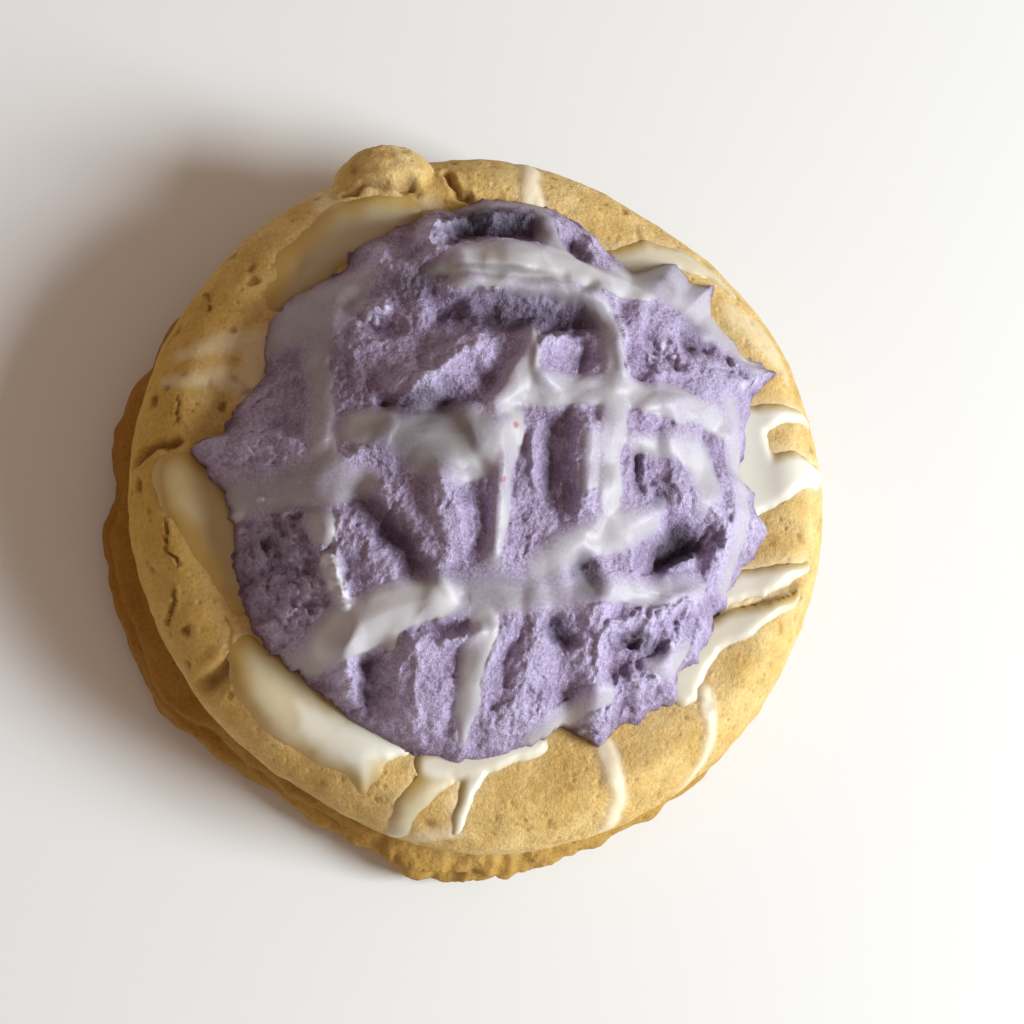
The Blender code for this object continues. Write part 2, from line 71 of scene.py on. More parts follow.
# Cracks, as (half width, depth, points they run through)
CRACKS = [
    (0.55, 1.7, [(-50.8, 3.2), (-49.4, 4.4), (-48, 5.4), (-46.4, 4.9), (-45, 5.6)]),
    (1.1, 1.9, [(-41.6, -29.5), (-38.6, -27.4), (-35.6, -24.6)]),
    (0.35, 0.9, [(-22, 43.4), (-19, 43.9), (-16, 43.7), (-12.6, 44.5)]),
    (0.8, 1.6, [(-13.6, 44.2), (-12.2, 44.5)]),
    (0.5, 1.4, [(-7, 47.4), (-5.4, 44.6), (-3.8, 43.9)]),
    (0.18, 0.8, [(-46.2, -6), (-46, -9.6), (-44.4, -12)]),
    (0.16, 0.8, [(-44.6, -15), (-45.4, -19.6)]),
    (0.15, 0.7, [(-45, 12), (-45.2, 8.5)]),
    (0.15, 0.6, [(-41.5, 28), (-40.8, 25.5)]),
    (0.9, 1.2, [(32, -17.6), (38, -16.2), (45, -12.4)]),
]
# The knob of dough on the far rim; its broken face is the part beyond KNOB_FACE in x
KNOB_CENTRE = (-16.0, 47.6, 20.5)
KNOB_REACH = (7.6, 5.4, 6.6)
KNOB_HEIGHT = 4.2
KNOB_FACE = -15.6
# How far each kind of relief stands out of the crust or cuts into it
SIDE_LUMPS, FOOT_LUMPS = 0.30, 0.75
SIDE_CRUMB, FOOT_CRUMB = 0.14, 0.24
FRONT_CRUMB = 0.9
FOOT_SEAM_HEIGHT, FOOT_SEAM_DEPTH = 7.0, 0.9
SAND = 0.16
PORE_DEPTH = 1.5
SWELL_INSET, SWELL_WIDTH = 6.5, 3.5
UNEVENNESS = 0.45
COOKIE_COLUMNS = 740
COOKIE_ROWS = 132


def ease(value):
    """Eases 0 to 1 with level ends."""
    value = np.clip(value, 0.0, 1.0)
    return value * value * (3.0 - 2.0 * value)


def outline_radius(outline, angle):
    """Radius of a closed outline at each angle, eased between its points."""
    turns, radii = np.array(outline + [(360 + outline[0][0], outline[0][1])], dtype=float).T
    turn = np.degrees(angle) % 360.0
    place = np.clip(np.searchsorted(turns, turn, side="right") - 1, 0, len(turns) - 2)
    share = ease((turn - turns[place]) / (turns[place + 1] - turns[place]))
    return radii[place] + (radii[place + 1] - radii[place]) * share


def grain(x, y, z, size):
    """Smooth noise from -1 to 1 whose lumps are about this many millimetres across."""
    points = np.stack(np.broadcast_arrays(x, y, z), -1).reshape(-1, 3) / size
    return np.array([noise.noise(point) for point in points.tolist()]).reshape(np.shape(x))


def nearest_on(x, y, ax, ay, bx, by):
    """The nearest place on a straight stretch, from 0 at a to 1 at b, and how far away it is."""
    dx, dy = bx - ax, by - ay
    share = np.clip(((x - ax) * dx + (y - ay) * dy) / (dx * dx + dy * dy), 0.0, 1.0)
    return share, np.hypot(x - ax - share * dx, y - ay - share * dy)


def reach_of_run(x, y, run):
    """How far inside a run of (x, y, half width) each point lies, negative outside it."""
    best = np.full(np.shape(x), -np.inf)
    for (ax, ay, aw), (bx, by, bw) in zip(run, run[1:]):
        share, away = nearest_on(x, y, ax, ay, bx, by)
        best = np.maximum(best, aw + (bw - aw) * share - away)
    return best


def away_from_line(x, y, points):
    """How far each point lies from a line through these points."""
    return -reach_of_run(x, y, [(px, py, 0.0) for px, py in points])


def curve_through(knots, count):
    """Points evenly spread along a smooth curve through knots, the first axis running along it."""
    ends = np.concatenate([knots[:1], knots, knots[-1:]])
    pieces = []
    for before, start, end, after in zip(ends, ends[1:], ends[2:], ends[3:]):
        for t in np.linspace(0.0, 1.0, 12, endpoint=False):
            pieces.append(
                0.5 * (2 * start + (end - before) * t + (2 * before - 5 * start + 4 * end - after) * t**2
                       + (3 * start - before - 3 * end + after) * t**3)
            )
    pieces = np.array(pieces + [knots[-1]])
    steps = np.linalg.norm(np.diff(pieces.reshape(len(pieces), -1), axis=0), axis=1)
    along = np.concatenate([[0.0], np.cumsum(steps)])
    place = np.interp(np.linspace(0.0, along[-1], count), along, np.arange(len(pieces)))
    low = np.minimum(place.astype(int), len(pieces) - 2)
    share = (place - low).reshape(-1, *[1] * (knots.ndim - 1))
    return pieces[low] * (1 - share) + pieces[low + 1] * share


def mesh_object(name, points, faces):
    """An object in metres from points in millimetres and a list of faces."""
    mesh = bpy.data.meshes.new(name)
    mesh.from_pydata((points * MM).tolist(), [], faces)
    mesh.update()
    made = bpy.data.objects.new(name, mesh)
    bpy.context.scene.collection.objects.link(made)
    mesh.shade_smooth()
    return made


def paint(made, name, values):
    """Keeps one number for each vertex, for the material to read."""
    attribute = made.data.attributes.new(name, "FLOAT", "POINT")
    attribute.data.foreach_set("value", np.asarray(values, dtype=np.float32).ravel())


# The glaze on the crust, as (thickness, milkiness, reach of its edge, run of (x, y, half width)):
# pools where it ran off the scoop and gathered, and thin drips that barely stand out.
COOKIE_POOLS = {
    "upper_left_pool": (0.45, 0.60, 3.4, [
        (-31.3, 27, 1.8), (-28.2, 31.6, 3.6), (-24.8, 35.4, 4.2), (-21.6, 38.2, 4.6),
        (-17.5, 39.8, 4.0), (-12.5, 41.2, 2.2),
    ]),
    "left_blob": (0.6, 0.30, 2.8, [
        (-45.1, 0.5, 3.6), (-43.2, -1.8, 4.6), (-40.4, -5, 4.4), (-38.2, -9.5, 3.8),
        (-36.8, -13.5, 3.0), (-35.6, -17, 1.8),
    ]),
    "lower_left_start": (0.5, 0.5, 3.0, [
        (-34.8, -24.2, 2.4), (-31.8, -28.2, 4.6), (-28.2, -31.6, 5.4), (-23.4, -34.2, 5.0),
    ]),
    "lower_left_pool": (0.6, 0.9, 3.2, [
        (-28.6, -30.6, 2.6), (-26.2, -32.8, 4.4), (-22.8, -34.8, 5.0), (-19.6, -36.8, 4.2),
        (-18.2, -40.0, 2.2), (-18.2, -42.4, 0.8),
    ]),
    "pool_corner": (0.6, 0.95, 2.0, [(-20, -35.6, 3.8), (-13.6, -36.2, 2.0)]),
    "bottom_shelf": (0.7, 0.8, 1.4, [
        (-9.6, -39.0, 2.0), (-4, -38.2, 3.0), (1, -37.4, 2.4), (6.4, -36.2, 1.6),
    ]),
    "bottom_left_arm": (0.4, 0.5, 1.6, [
        (-6.5, -40.2, 1.7), (-9.6, -42.4, 1.7), (-12, -45, 1.8), (-12.4, -47.4, 1.8),
        (-13.4, -49, 1.4),
    ]),
    "bottom_right_arm": (0.5, 0.9, 1.0, [
        (-2.4, -40.2, 1.5), (-3.9, -43, 1.1), (-4.7, -46, 0.9), (-5.2, -48.2, 0.7),
    ]),
    "right_pool": (0.6, 0.75, 1.4, [
        (27.4, -27.4, 2.8), (28.6, -23.6, 3.2), (31.4, -20.2, 2.8), (36.6, -18.2, 2.0),
        (41.6, -16.2, 1.4), (45.8, -13.8, 0.9),
    ]),
    "right_streak": (0.6, 0.8, 1.3, [
        (32.6, -13.6, 2.4), (38.4, -12.3, 2.0), (43, -11, 1.5), (47, -9.4, 0.9),
    ]),
    "right_blob": (0.65, 0.95, 1.6, [
        (35, -1.4, 3.0), (39.6, 2.2, 4.0), (45, 4.4, 3.0), (49.4, 4.4, 1.8),
    ]),
    "right_blob_back": (0.65, 0.95, 1.6, [
        (38.6, 4, 4.2), (37.8, 8.5, 3.8), (38.8, 12.2, 2.6), (44, 13.4, 1.3), (49, 13.2, 0.9),
    ]),
    "upper_right_streak": (0.5, 0.62, 1.6, [
        (18.6, 35.2, 2.6), (23.4, 35.6, 3.4), (28, 36.6, 2.0), (33, 35.0, 1.3), (37.2, 32.0, 0.9),
    ]),
}
COOKIE_DRIPS = {
    "upper_left_tongue": (0.15, 0.35, 1.6, [(-25.4, 42, 1.8), (-25.6, 46, 1.2)]),
    "left_sheet": (0.30, 0.55, 2.2, [(-33.0, 20, 3.8), (-34.2, 15, 4.0), (-35.6, 11.4, 2.2)]),
    "left_fingers_top": (0.22, 0.46, 1.2, [
        (-34, 19.6, 2.8), (-38, 20.6, 1.9), (-42, 20, 1.3), (-45.4, 18.6, 0.9),
    ]),
    "left_fingers_low": (0.22, 0.46, 1.2, [
        (-34, 15.4, 2.8), (-38, 15.4, 2.0), (-43, 15.2, 1.3), (-47.5, 15, 0.9),
    ]),
    "bottom_film": (0.16, 0.5, 1.3, [
        (-16.8, -48.6, 1.0), (-13, -48.8, 1.7), (-9, -48.6, 1.6), (-5.4, -47.8, 1.2),
    ]),
    "bottom_right_run": (0.34, 0.78, 1.0, [
        (16.0, -36, 1.6), (17.3, -41, 1.4), (18, -45, 1.3), (16.6, -48.6, 1.8),
    ]),
    "right_run": (0.32, 0.85, 0.9, [
        (30.6, -28, 1.4), (31.4, -34, 1.0), (30.6, -38, 0.9), (28.6, -42, 1.0),
    ]),
    "right_film": (0.12, 0.4, 2.2, [
        (35.6, 29.6, 2.2), (39, 26.6, 3.2), (41.6, 23.4, 2.8), (44.2, 19.8, 1.6),
    ]),
    "top_run": (0.30, 0.8, 1.1, [(5.6, 43.0, 1.7), (5.4, 47.5, 1.5), (5.3, 52.4, 1.4)]),
    "top_wash": (0.10, 0.4, 1.4, [(-16, 41.6, 1.8), (-9, 42.8, 1.6)]),
}
FIELD_HALF = 62.0
FIELD_STEP = 0.3
DRY = -1.0


def flat_radius(angle):
    """Where the top starts to round over towards the rim."""
    return outline_radius(RIM_OUTLINE, angle) - RIM_ROUNDING


def laid_out(x, y):
    """Rolls the rounded rim out flat, so that a run keeps its length where it goes over the edge."""
    radius, flat = np.hypot(x, y), flat_radius(np.arctan2(y, x))
    over = np.arcsin(np.clip((radius - flat) / RIM_ROUNDING, 0.0, 0.999)) * RIM_ROUNDING
    stretch = np.where(radius > flat, (flat + over) / np.maximum(radius, 1e-6), 1.0)
    return x * stretch, y * stretch


def rolled_up(u, v, lift):
    """The point in space that stands this far above a point of the laid-out top."""
    radius, flat = np.hypot(u, v), flat_radius(np.arctan2(v, u))
    turn = np.clip((radius - flat) / RIM_ROUNDING, 0.0, 2.0)
    out = np.where(turn > 0, flat + (RIM_ROUNDING + lift) * np.sin(turn), radius)
    height = COOKIE_TOP - RIM_DROP * (1 - np.cos(turn)) + lift * np.cos(turn)
    scale = out / np.maximum(radius, 1e-6)
    return np.stack([u * scale, v * scale, height], -1)


def blur(field, reach):
    """Softens a square field over this many millimetres."""
    rate = np.fft.fftfreq(field.shape[0], FIELD_STEP)
    soften = np.exp(-2 * (math.pi * reach * rate) ** 2)
    return np.real(np.fft.ifft2(np.fft.fft2(field) * soften[:, None] * soften[None, :]))


def sample(field, x, y):
    """Reads a square field between its points."""
    a, b = (np.clip((axis + FIELD_HALF) / FIELD_STEP, 0, field.shape[0] - 2) for axis in (x, y))
    i, j = a.astype(int), b.astype(int)
    a, b = a - i, b - j
    return (
        (field[i, j] * (1 - a) + field[i + 1, j] * a) * (1 - b)
        + (field[i, j + 1] * (1 - a) + field[i + 1, j + 1] * a) * b
    )


def poured(drizzle, softness):
    """Thickness and milkiness of the glaze over the laid-out top; the thickness is negative off it."""
    thickest = np.full(field_u.shape, DRY)
    milky = np.zeros(field_u.shape)
    for thickness, milk, edge, run in drizzle.values():
        px, py, widths = np.array(run).T
        run_u, run_v = laid_out(px, py)
        near = abs(field_u - run_u.mean()) < np.ptp(run_u) / 2 + 12
        near &= abs(field_v - run_v.mean()) < np.ptp(run_v) / 2 + 12
        laid_run = list(zip(run_u, run_v, widths))
        inside = reach_of_run(field_u[near] + wander_u[near], field_v[near] + wander_v[near], laid_run)
        share = np.minimum(inside / edge, 1.0)
        rounded_edge = thickness * (1 - (1 - share) ** 2)
        depth = np.where(share > 0, rounded_edge, np.maximum(2 * thickness * share, DRY))
        milky[near] = np.maximum(milky[near], milk * ease(share * 3.2 / (1 + edge) + 0.08))
        thickest[near] = np.maximum(thickest[near], depth)
    # Painted light: the milk is shifted toward the lower right, the side the light comes from, so the glaze
    # edges there are whiter and crisper
    milk_toward_light = np.roll(milky, (2, -2), axis=(0, 1))
    return blur(thickest, softness), blur(np.maximum(milk_toward_light, 0.6 * milky), softness)


def wander(broad_level, fine_level):
    """How far the edges of the glaze stray from their runs at each point of the laid-out top."""
    broad = grain(field_u, field_v, np.full_like(field_u, broad_level), 3.6)
    fine = grain(field_u, field_v, np.full_like(field_u, fine_level), 1.1)
    return 0.75 * broad + 0.25 * fine


ticks = np.arange(-FIELD_HALF, FIELD_HALF + FIELD_STEP, FIELD_STEP)
field_u, field_v = np.meshgrid(ticks, ticks, indexing="ij")
wander_u, wander_v = wander(5.0, 1.0), wander(9.0, 4.0)
pool_depth, pool_milk = poured(COOKIE_POOLS, 0.25)
drip_depth, drip_milk = poured(COOKIE_DRIPS, 0.35)


def crust_lift(x, y):
    """How far the top stands above a level slab: it swells near the rim and is gently uneven."""
    radius = np.hypot(x, y)
    inward = outline_radius(RIM_OUTLINE, np.arctan2(y, x)) - radius
    swell = np.exp(-(((inward - SWELL_INSET) / SWELL_WIDTH) ** 2))
    uneven = UNEVENNESS * grain(x, y, np.full_like(x, 3.0), 9.0)
    return (RIM_SWELL * swell + uneven) * ease((radius - TOP_REACH) / 4.0)


def cookie_rows(angle):
    """The side at each angle, as rows of (radius, height) from under the scoop to the underside."""
    rim = outline_radius(RIM_OUTLINE, angle)
    foot = outline_radius(FOOT_OUTLINE, angle)
    groove = np.minimum(rim, foot) - GROOVE_DEPTH
    level_radii = (rim * 0 + TOP_REACH, rim - 20, rim - 14, rim - RIM_ROUNDING)
    knots = [(radius, COOKIE_TOP) for radius in level_radii]
    for turn in (0.4, 0.8, 1.2, math.pi / 2):
        knots.append((rim - RIM_ROUNDING * (1 - math.sin(turn)), RIM_MID_HEIGHT + RIM_DROP * math.cos(turn)))
    knots += [
        (rim - 0.3, RIM_MID_HEIGHT - 2.2),
        (rim - 1.3, GROOVE_HEIGHT + 1.4),
        (groove, GROOVE_HEIGHT),
        (groove + 0.9, GROOVE_HEIGHT - 1.0),
        (foot - 1.2, FOOT_MID_HEIGHT + 3.4),
        (foot - 0.2, FOOT_MID_HEIGHT + 1.6),
        (foot, FOOT_MID_HEIGHT),
        (foot - 0.5, FOOT_EDGE),
        (foot - FOOT_EDGE, 0.0),
    ]
    knots = np.array([np.stack(np.broadcast_arrays(*knot), -1) for knot in knots])
    return curve_through(knots, COOKIE_ROWS)


def facing(direction, spread):
    """1 on the side of the cookie that looks this way, in degrees, fading over the spread."""
    return np.exp(-(((np.degrees(angles) % 360 - direction) / spread) ** 2))


def grid_normals(points):
    """Outward normals of rows by columns of points that close on themselves sideways."""
    down = np.gradient(points, axis=0)
    around = np.roll(points, -1, axis=1) - np.roll(points, 1, axis=1)
    normals = np.cross(down, around)
    return normals / np.linalg.norm(normals, axis=2, keepdims=True)


angles = np.linspace(0.0, 2 * math.pi, COOKIE_COLUMNS, endpoint=False)
profile = cookie_rows(angles)
crust = np.stack([profile[..., 0] * np.cos(angles), profile[..., 0] * np.sin(angles), profile[..., 1]], -1)
x, y, z = np.moveaxis(crust, -1, 0)
outward = grid_normals(crust)
on_top = ease((z - RIM_MID_HEIGHT) / 5.0)
on_foot = ease((GROOVE_HEIGHT + 1.0 - z) / 4.0)
low_left, low_front, left_side = facing(212, 38), facing(268, 24), facing(180, 52)
lift = on_top * crust_lift(x, y)
lift += (SIDE_LUMPS + FOOT_LUMPS * on_foot) * (1 - on_top) * grain(x, y, z * 1.5, 6.0)
lift += (SIDE_CRUMB + FOOT_CRUMB * on_foot) * (1 - on_top) * grain(x, y, z, 2.4)
lift += on_foot * low_front * (FRONT_CRUMB * grain(x, y, z, 2.2) + 0.4 * grain(x, y, z, 1.0))
above_seam = z - FOOT_SEAM_HEIGHT - 0.6 * grain(x, y, z * 0, 8.0)
lift -= FOOT_SEAM_DEPTH * low_left * np.exp(-((above_seam / 0.7) ** 2))
lift += SAND * grain(x, y, z, 3.0) + 0.07 * grain(x, y, z, 1.2)
pitted = np.maximum(0.0, grain(x, y, z + 40, 1.9) - 0.42) * (0.5 + left_side)
lift -= PORE_DEPTH * pitted * on_top
knob_away = np.linalg.norm((crust - KNOB_CENTRE) / KNOB_REACH, axis=2) + 0.06 * grain(x, y, z, 2.6)
knob = np.clip(1 - knob_away**2, 0, 1) ** 0.7
knob_face = knob * ease((x - KNOB_FACE + 2.0 * grain(x, y, z, 2.4)) / 1.2)
lift += knob * (KNOB_HEIGHT + 0.5 * grain(x, y, z, 3.2) + 0.22 * grain(x, y, z, 1.1))
lift += knob_face * (0.3 * grain(x, y, z, 1.6) + 0.14 * grain(x, y, z, 0.7) - 0.2)
cracked = np.zeros_like(lift)
for half_width, depth, points in CRACKS:
    bend = 0.5 * grain(x, y, z, 1.6)
    away = away_from_line(x + bend, y + bend, points)
    cut = np.exp(-((away / half_width) ** 2)) * on_top
    lift += cut * -depth + 0.3 * on_top * np.exp(-(((away - 2.2 * half_width) / half_width) ** 2))
    cracked = np.maximum(cracked, cut)
rounded = np.arccos(np.clip((z - RIM_MID_HEIGHT) / RIM_DROP, -1, 1))
flat = flat_radius(angles)
laid = np.where(profile[..., 0] > flat, flat + RIM_ROUNDING * rounded, profile[..., 0])
laid_u, laid_v = laid * np.cos(angles), laid * np.sin(angles)
wet = ease(sample(pool_depth, laid_u, laid_v) / 0.4 + 0.5) * on_top
lift = lift * (1 - wet) + wet * (on_top * crust_lift(x, y) - 0.1)
drip = np.clip(sample(drip_depth, laid_u, laid_v), 0, 1) * on_top
lift += drip
lift *= ease(z / 1.5) * ease((profile[..., 0] - TOP_REACH) / 2.0)
crust = crust + outward * lift[..., None]
crust[..., 2] = np.maximum(crust[..., 2], 0.0)
halo = sample(blur(pool_milk, 0.9), laid_u + 0.9, laid_v - 0.9)
crust_film = np.maximum(sample(drip_milk, laid_u, laid_v), 0.75 * halo) * on_top

column = np.arange(COOKIE_COLUMNS)
beside = np.roll(column, -1)
faces = []
for row in range(COOKIE_ROWS - 1):
    here, below = row * COOKIE_COLUMNS, (row + 1) * COOKIE_COLUMNS
    faces += np.stack([here + column, below + column, below + beside, here + beside], 1).tolist()
faces.append(column.tolist())
faces.append(((COOKIE_ROWS - 1) * COOKIE_COLUMNS + column)[::-1].tolist())
cookie = mesh_object("cookie_crust", crust.reshape(-1, 3), faces)
# Painted shade in the cracks and in the groove between the slab and the foot
paint(cookie, "crease_shade", np.maximum(cracked, np.exp(-(((z - GROOVE_HEIGHT) / 0.9) ** 2)) * 0.6))
paint(cookie, "foot", on_foot)
# Paler crumb on the knob's broken face, which is also its lit right side: partly real colour, partly painted
# light
paint(cookie, "knob", 0.75 * knob_face)
paint(cookie, "film", crust_film)
# Painted shade: the pits cut into the top are also coloured dark
paint(cookie, "pitted", np.clip(pitted * 5.0, 0, 1) * on_top)
# Painted shade: the left side of the rim and foot, which faces away from the light, is coloured darker and
# browner
paint(cookie, "painted_left_shade", np.broadcast_to(left_side, z.shape) * ease((profile[..., 0] - 40) / 8))


class Finish:
    """A new procedural material and short ways to add nodes to it, each giving the socket to read."""

    def __init__(self, name):
        self.material = bpy.data.materials.new(name)
        self.material.use_nodes = True
        self.tree = self.material.node_tree
        self.shader = self.tree.nodes["Principled BSDF"].inputs
        self.place = self.add("ShaderNodeTexCoord", "Object", {})

    def put(self, socket, value):
        """Links a socket to another one, or sets it to a value."""
        if isinstance(value, bpy.types.NodeSocket):
            self.tree.links.new(value, socket)
        else:
            socket.default_value = value

    def add(self, kind, output, inputs, **settings):
        node = self.tree.nodes.new(kind)
        for key, value in settings.items():
            setattr(node, key, value)
        for key, value in inputs.items():
            self.put(node.inputs[key], value)
        return node.outputs[output]

    def clouds(self, scale, detail, roughness=0.5):
        inputs = {"Vector": self.place, "Scale": scale, "Detail": detail, "Roughness": roughness}
        return self.add("ShaderNodeTexNoise", "Fac", inputs)

    def cells(self, scale):
        inputs = {"Vector": self.place, "Scale": scale, "Randomness": 1.0}
        return self.add("ShaderNodeTexVoronoi", "Distance", inputs)

    def painted(self, name):
        """What paint() kept on the mesh under this name."""
        return self.add("ShaderNodeAttribute", "Fac", {}, attribute_name=name)

    def mapped(self, value, low, high, to_low=0.0, to_high=1.0):
        """Turns low to high of a value into to_low to to_high."""
        inputs = {"Value": value, "From Min": low, "From Max": high, "To Min": to_low, "To Max": to_high}
        return self.add("ShaderNodeMapRange", "Result", inputs)

    def maths(self, operation, *values, use_clamp=False):
        inputs = dict(enumerate(values))
        return self.add("ShaderNodeMath", 0, inputs, operation=operation, use_clamp=use_clamp)

    def dimmed(self, colour, share):
        return self.add("ShaderNodeVectorMath", 0, {0: colour, "Scale": share}, operation="SCALE")

    def mixed(self, share, under, over):
        """One colour laid over another."""
        return self.add("ShaderNodeMix", 2, {"Factor": share, 6: under, 7: over}, data_type="RGBA")

    def ramp(self, value, *stops):
        """A colour ramp over a value, from (position, colour) stops."""
        shades = self.add("ShaderNodeValToRGB", "Color", {"Fac": value})
        elements = shades.node.color_ramp.elements
        while len(elements) < len(stops):
            elements.new(0.5)
        for element, (position, colour) in zip(elements, stops):
            element.position = position
            element.color = (*colour, 1.0)
        return shades

    def bump(self, height, strength, distance):
        inputs = {"Height": height, "Strength": strength, "Distance": distance}
        self.put(self.shader["Normal"], self.add("ShaderNodeBump", "Normal", inputs))

    def body(self, weight, radius, scale):
        """Light that sinks into the stuff and comes out again a little way off."""
        self.shader["Subsurface Weight"].default_value = weight
        self.shader["Subsurface Radius"].default_value = radius
        self.shader["Subsurface Scale"].default_value = scale


def cookie_material():
    """Matt sandy crust: pale gold on top, browner on the foot, with small pores; painted shade in the
    crease, cracks and pores and on the left side, and paler on the knob's broken face, partly as painted
    light.
    """
    crust = Finish("baked_crust")

    def share_of(name, most):
        return crust.maths("MULTIPLY", crust.painted(name), most, use_clamp=True)

    blotch = crust.clouds(95.0, 9.0, 0.72)
    patch = crust.clouds(330.0, 6.0, 0.7)
    sand = crust.clouds(1700.0, 4.0, 0.75)
    pore = crust.cells(560.0)
    colour = crust.ramp(
        blotch, (0.36, (0.60, 0.39, 0.115)), (0.5, (0.70, 0.485, 0.175)), (0.64, (0.77, 0.575, 0.255))
    )
    colour = crust.dimmed(colour, crust.mapped(patch, 0.36, 0.62, 0.86, 1.08))
    # Painted shade: darker, browner colour on the left side of the top and foot, away from the light
    colour = crust.mixed(share_of("painted_left_shade", 0.62), colour, (0.60, 0.355, 0.028, 1))
    foot = crust.mixed(share_of("painted_left_shade", 1.0), (0.47, 0.28, 0.06, 1), (0.34, 0.145, 0.006, 1))
    colour = crust.mixed(share_of("foot", 1.0), colour, foot)
    # Pale broken crumb on the knob's right face, partly painted light on its lit side
    colour = crust.mixed(share_of("knob", 1.0), colour, (0.88, 0.70, 0.36, 1))
    # Painted shade inside the pits
    colour = crust.mixed(share_of("pitted", 0.8), colour, (0.30, 0.15, 0.03, 1))
    # Painted shade: dark colour in the cracks and the side groove
    colour = crust.mixed(share_of("crease_shade", 0.75), colour, (0.26, 0.13, 0.025, 1))
    # Painted shade in the small pores of the bump
    pore_shade = crust.mapped(pore, 0.06, 0.20, 0.45, 0.0)
    pore_shade = crust.maths("MULTIPLY", pore_shade, crust.mapped(patch, 0.50, 0.60))
    speckle = crust.mapped(sand, 0.34, 0.66, 0.84, 1.12)
    grit = crust.maths("MULTIPLY", crust.maths("SUBTRACT", 1.0, pore_shade), speckle)
    film = share_of("film", 1.0)
    colour = crust.mixed(film, crust.dimmed(colour, grit), (0.78, 0.73, 0.58, 1))
    crust.put(crust.shader["Base Color"], colour)
    crust.put(crust.shader["Roughness"], crust.mapped(film, 0.0, 0.6, 0.9, 0.5))
    crust.body(0.12, (1.0, 0.6, 0.3), 0.001)
    height = crust.maths("MULTIPLY_ADD", sand, 1.6, crust.mapped(pore, 0.02, 0.3))
    crust.bump(height, crust.mapped(film, 0.0, 0.5, 0.6, 0.12), 0.0004)
    return crust.material


cookie.data.materials.append(cookie_material())
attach(cookie, "root")
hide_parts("cookie")

# The buttercream: a scoop of whipped lavender buttercream, set down and torn rather than spread. It
# broke into folds, ledges and chunks with a grainy, fibrous face, a deep hollow at the right and
# ribs along the lower edge, and its edge is ragged where it meets the cookie.
SCOOP_BASE = COOKIE_TOP + SEAT_GAP
SCOOP_HEIGHT = 19.0
SCOOP_FLATNESS = 2.6
SCOOP_SHOULDER = 0.72
SCOOP_RINGS = 178
# How far the outer edge sinks into the crust, and the share of its reach left where it turns under
EDGE_SINK = 0.35
UNDER_SHARE = 0.95
SCOOP_OUTLINE = [
    (0, 38.6), (6, 36.8), (14, 39.0), (21, 41.4), (25.5, 43.8), (30, 43.2), (40, 42.8),
    (45, 43.6), (52, 43.4), (58, 39.6), (64, 40.4), (71, 42.4), (79, 43.8), (92, 43.8),
    (96, 41.8), (103, 42.8), (110, 40.8), (118, 41.0), (126, 38.8), (142, 40.6),
    (155, 37.2), (168, 39.0), (174, 42.4), (187, 37.6), (203, 39.1), (213, 39.9),
    (228, 38.9), (252, 39.3), (265, 38.7), (280, 36.8), (286, 35.4), (293, 39.0),
    (300, 38.0), (311, 39.3), (317, 37.6), (327, 38.0), (332, 36.8), (340, 37.7),
    (353, 40.4),
]
# Torn tips that stand out from the edge, as (direction in degrees, reach, half width in degrees). The
# long ones come to a point, and the short ones are round crumbs
LONG_TIP = 3
LONG_TIP_SHARPNESS, SHORT_TIP_SHARPNESS = 1.4, 0.7
TIP_SPREAD = 1.8
SCOOP_TIPS = [
    (24.6, 3.4, 2.4), (44.4, 3.2, 2.2), (52.6, 1.4, 3.0), (96.0, 1.0, 1.6), (110.4, 0.9, 1.8),
    (174.0, 1.4, 1.8), (186.5, 0.9, 1.2), (262.0, 0.8, 1.8), (292.5, 0.8, 1.4), (303.0, 0.7, 1.2),
    (311.5, 1.0, 1.4), (321.0, 0.8, 1.1), (335.0, 0.9, 1.2), (353.0, 1.0, 1.6), (1.5, 0.7, 1.2),
]
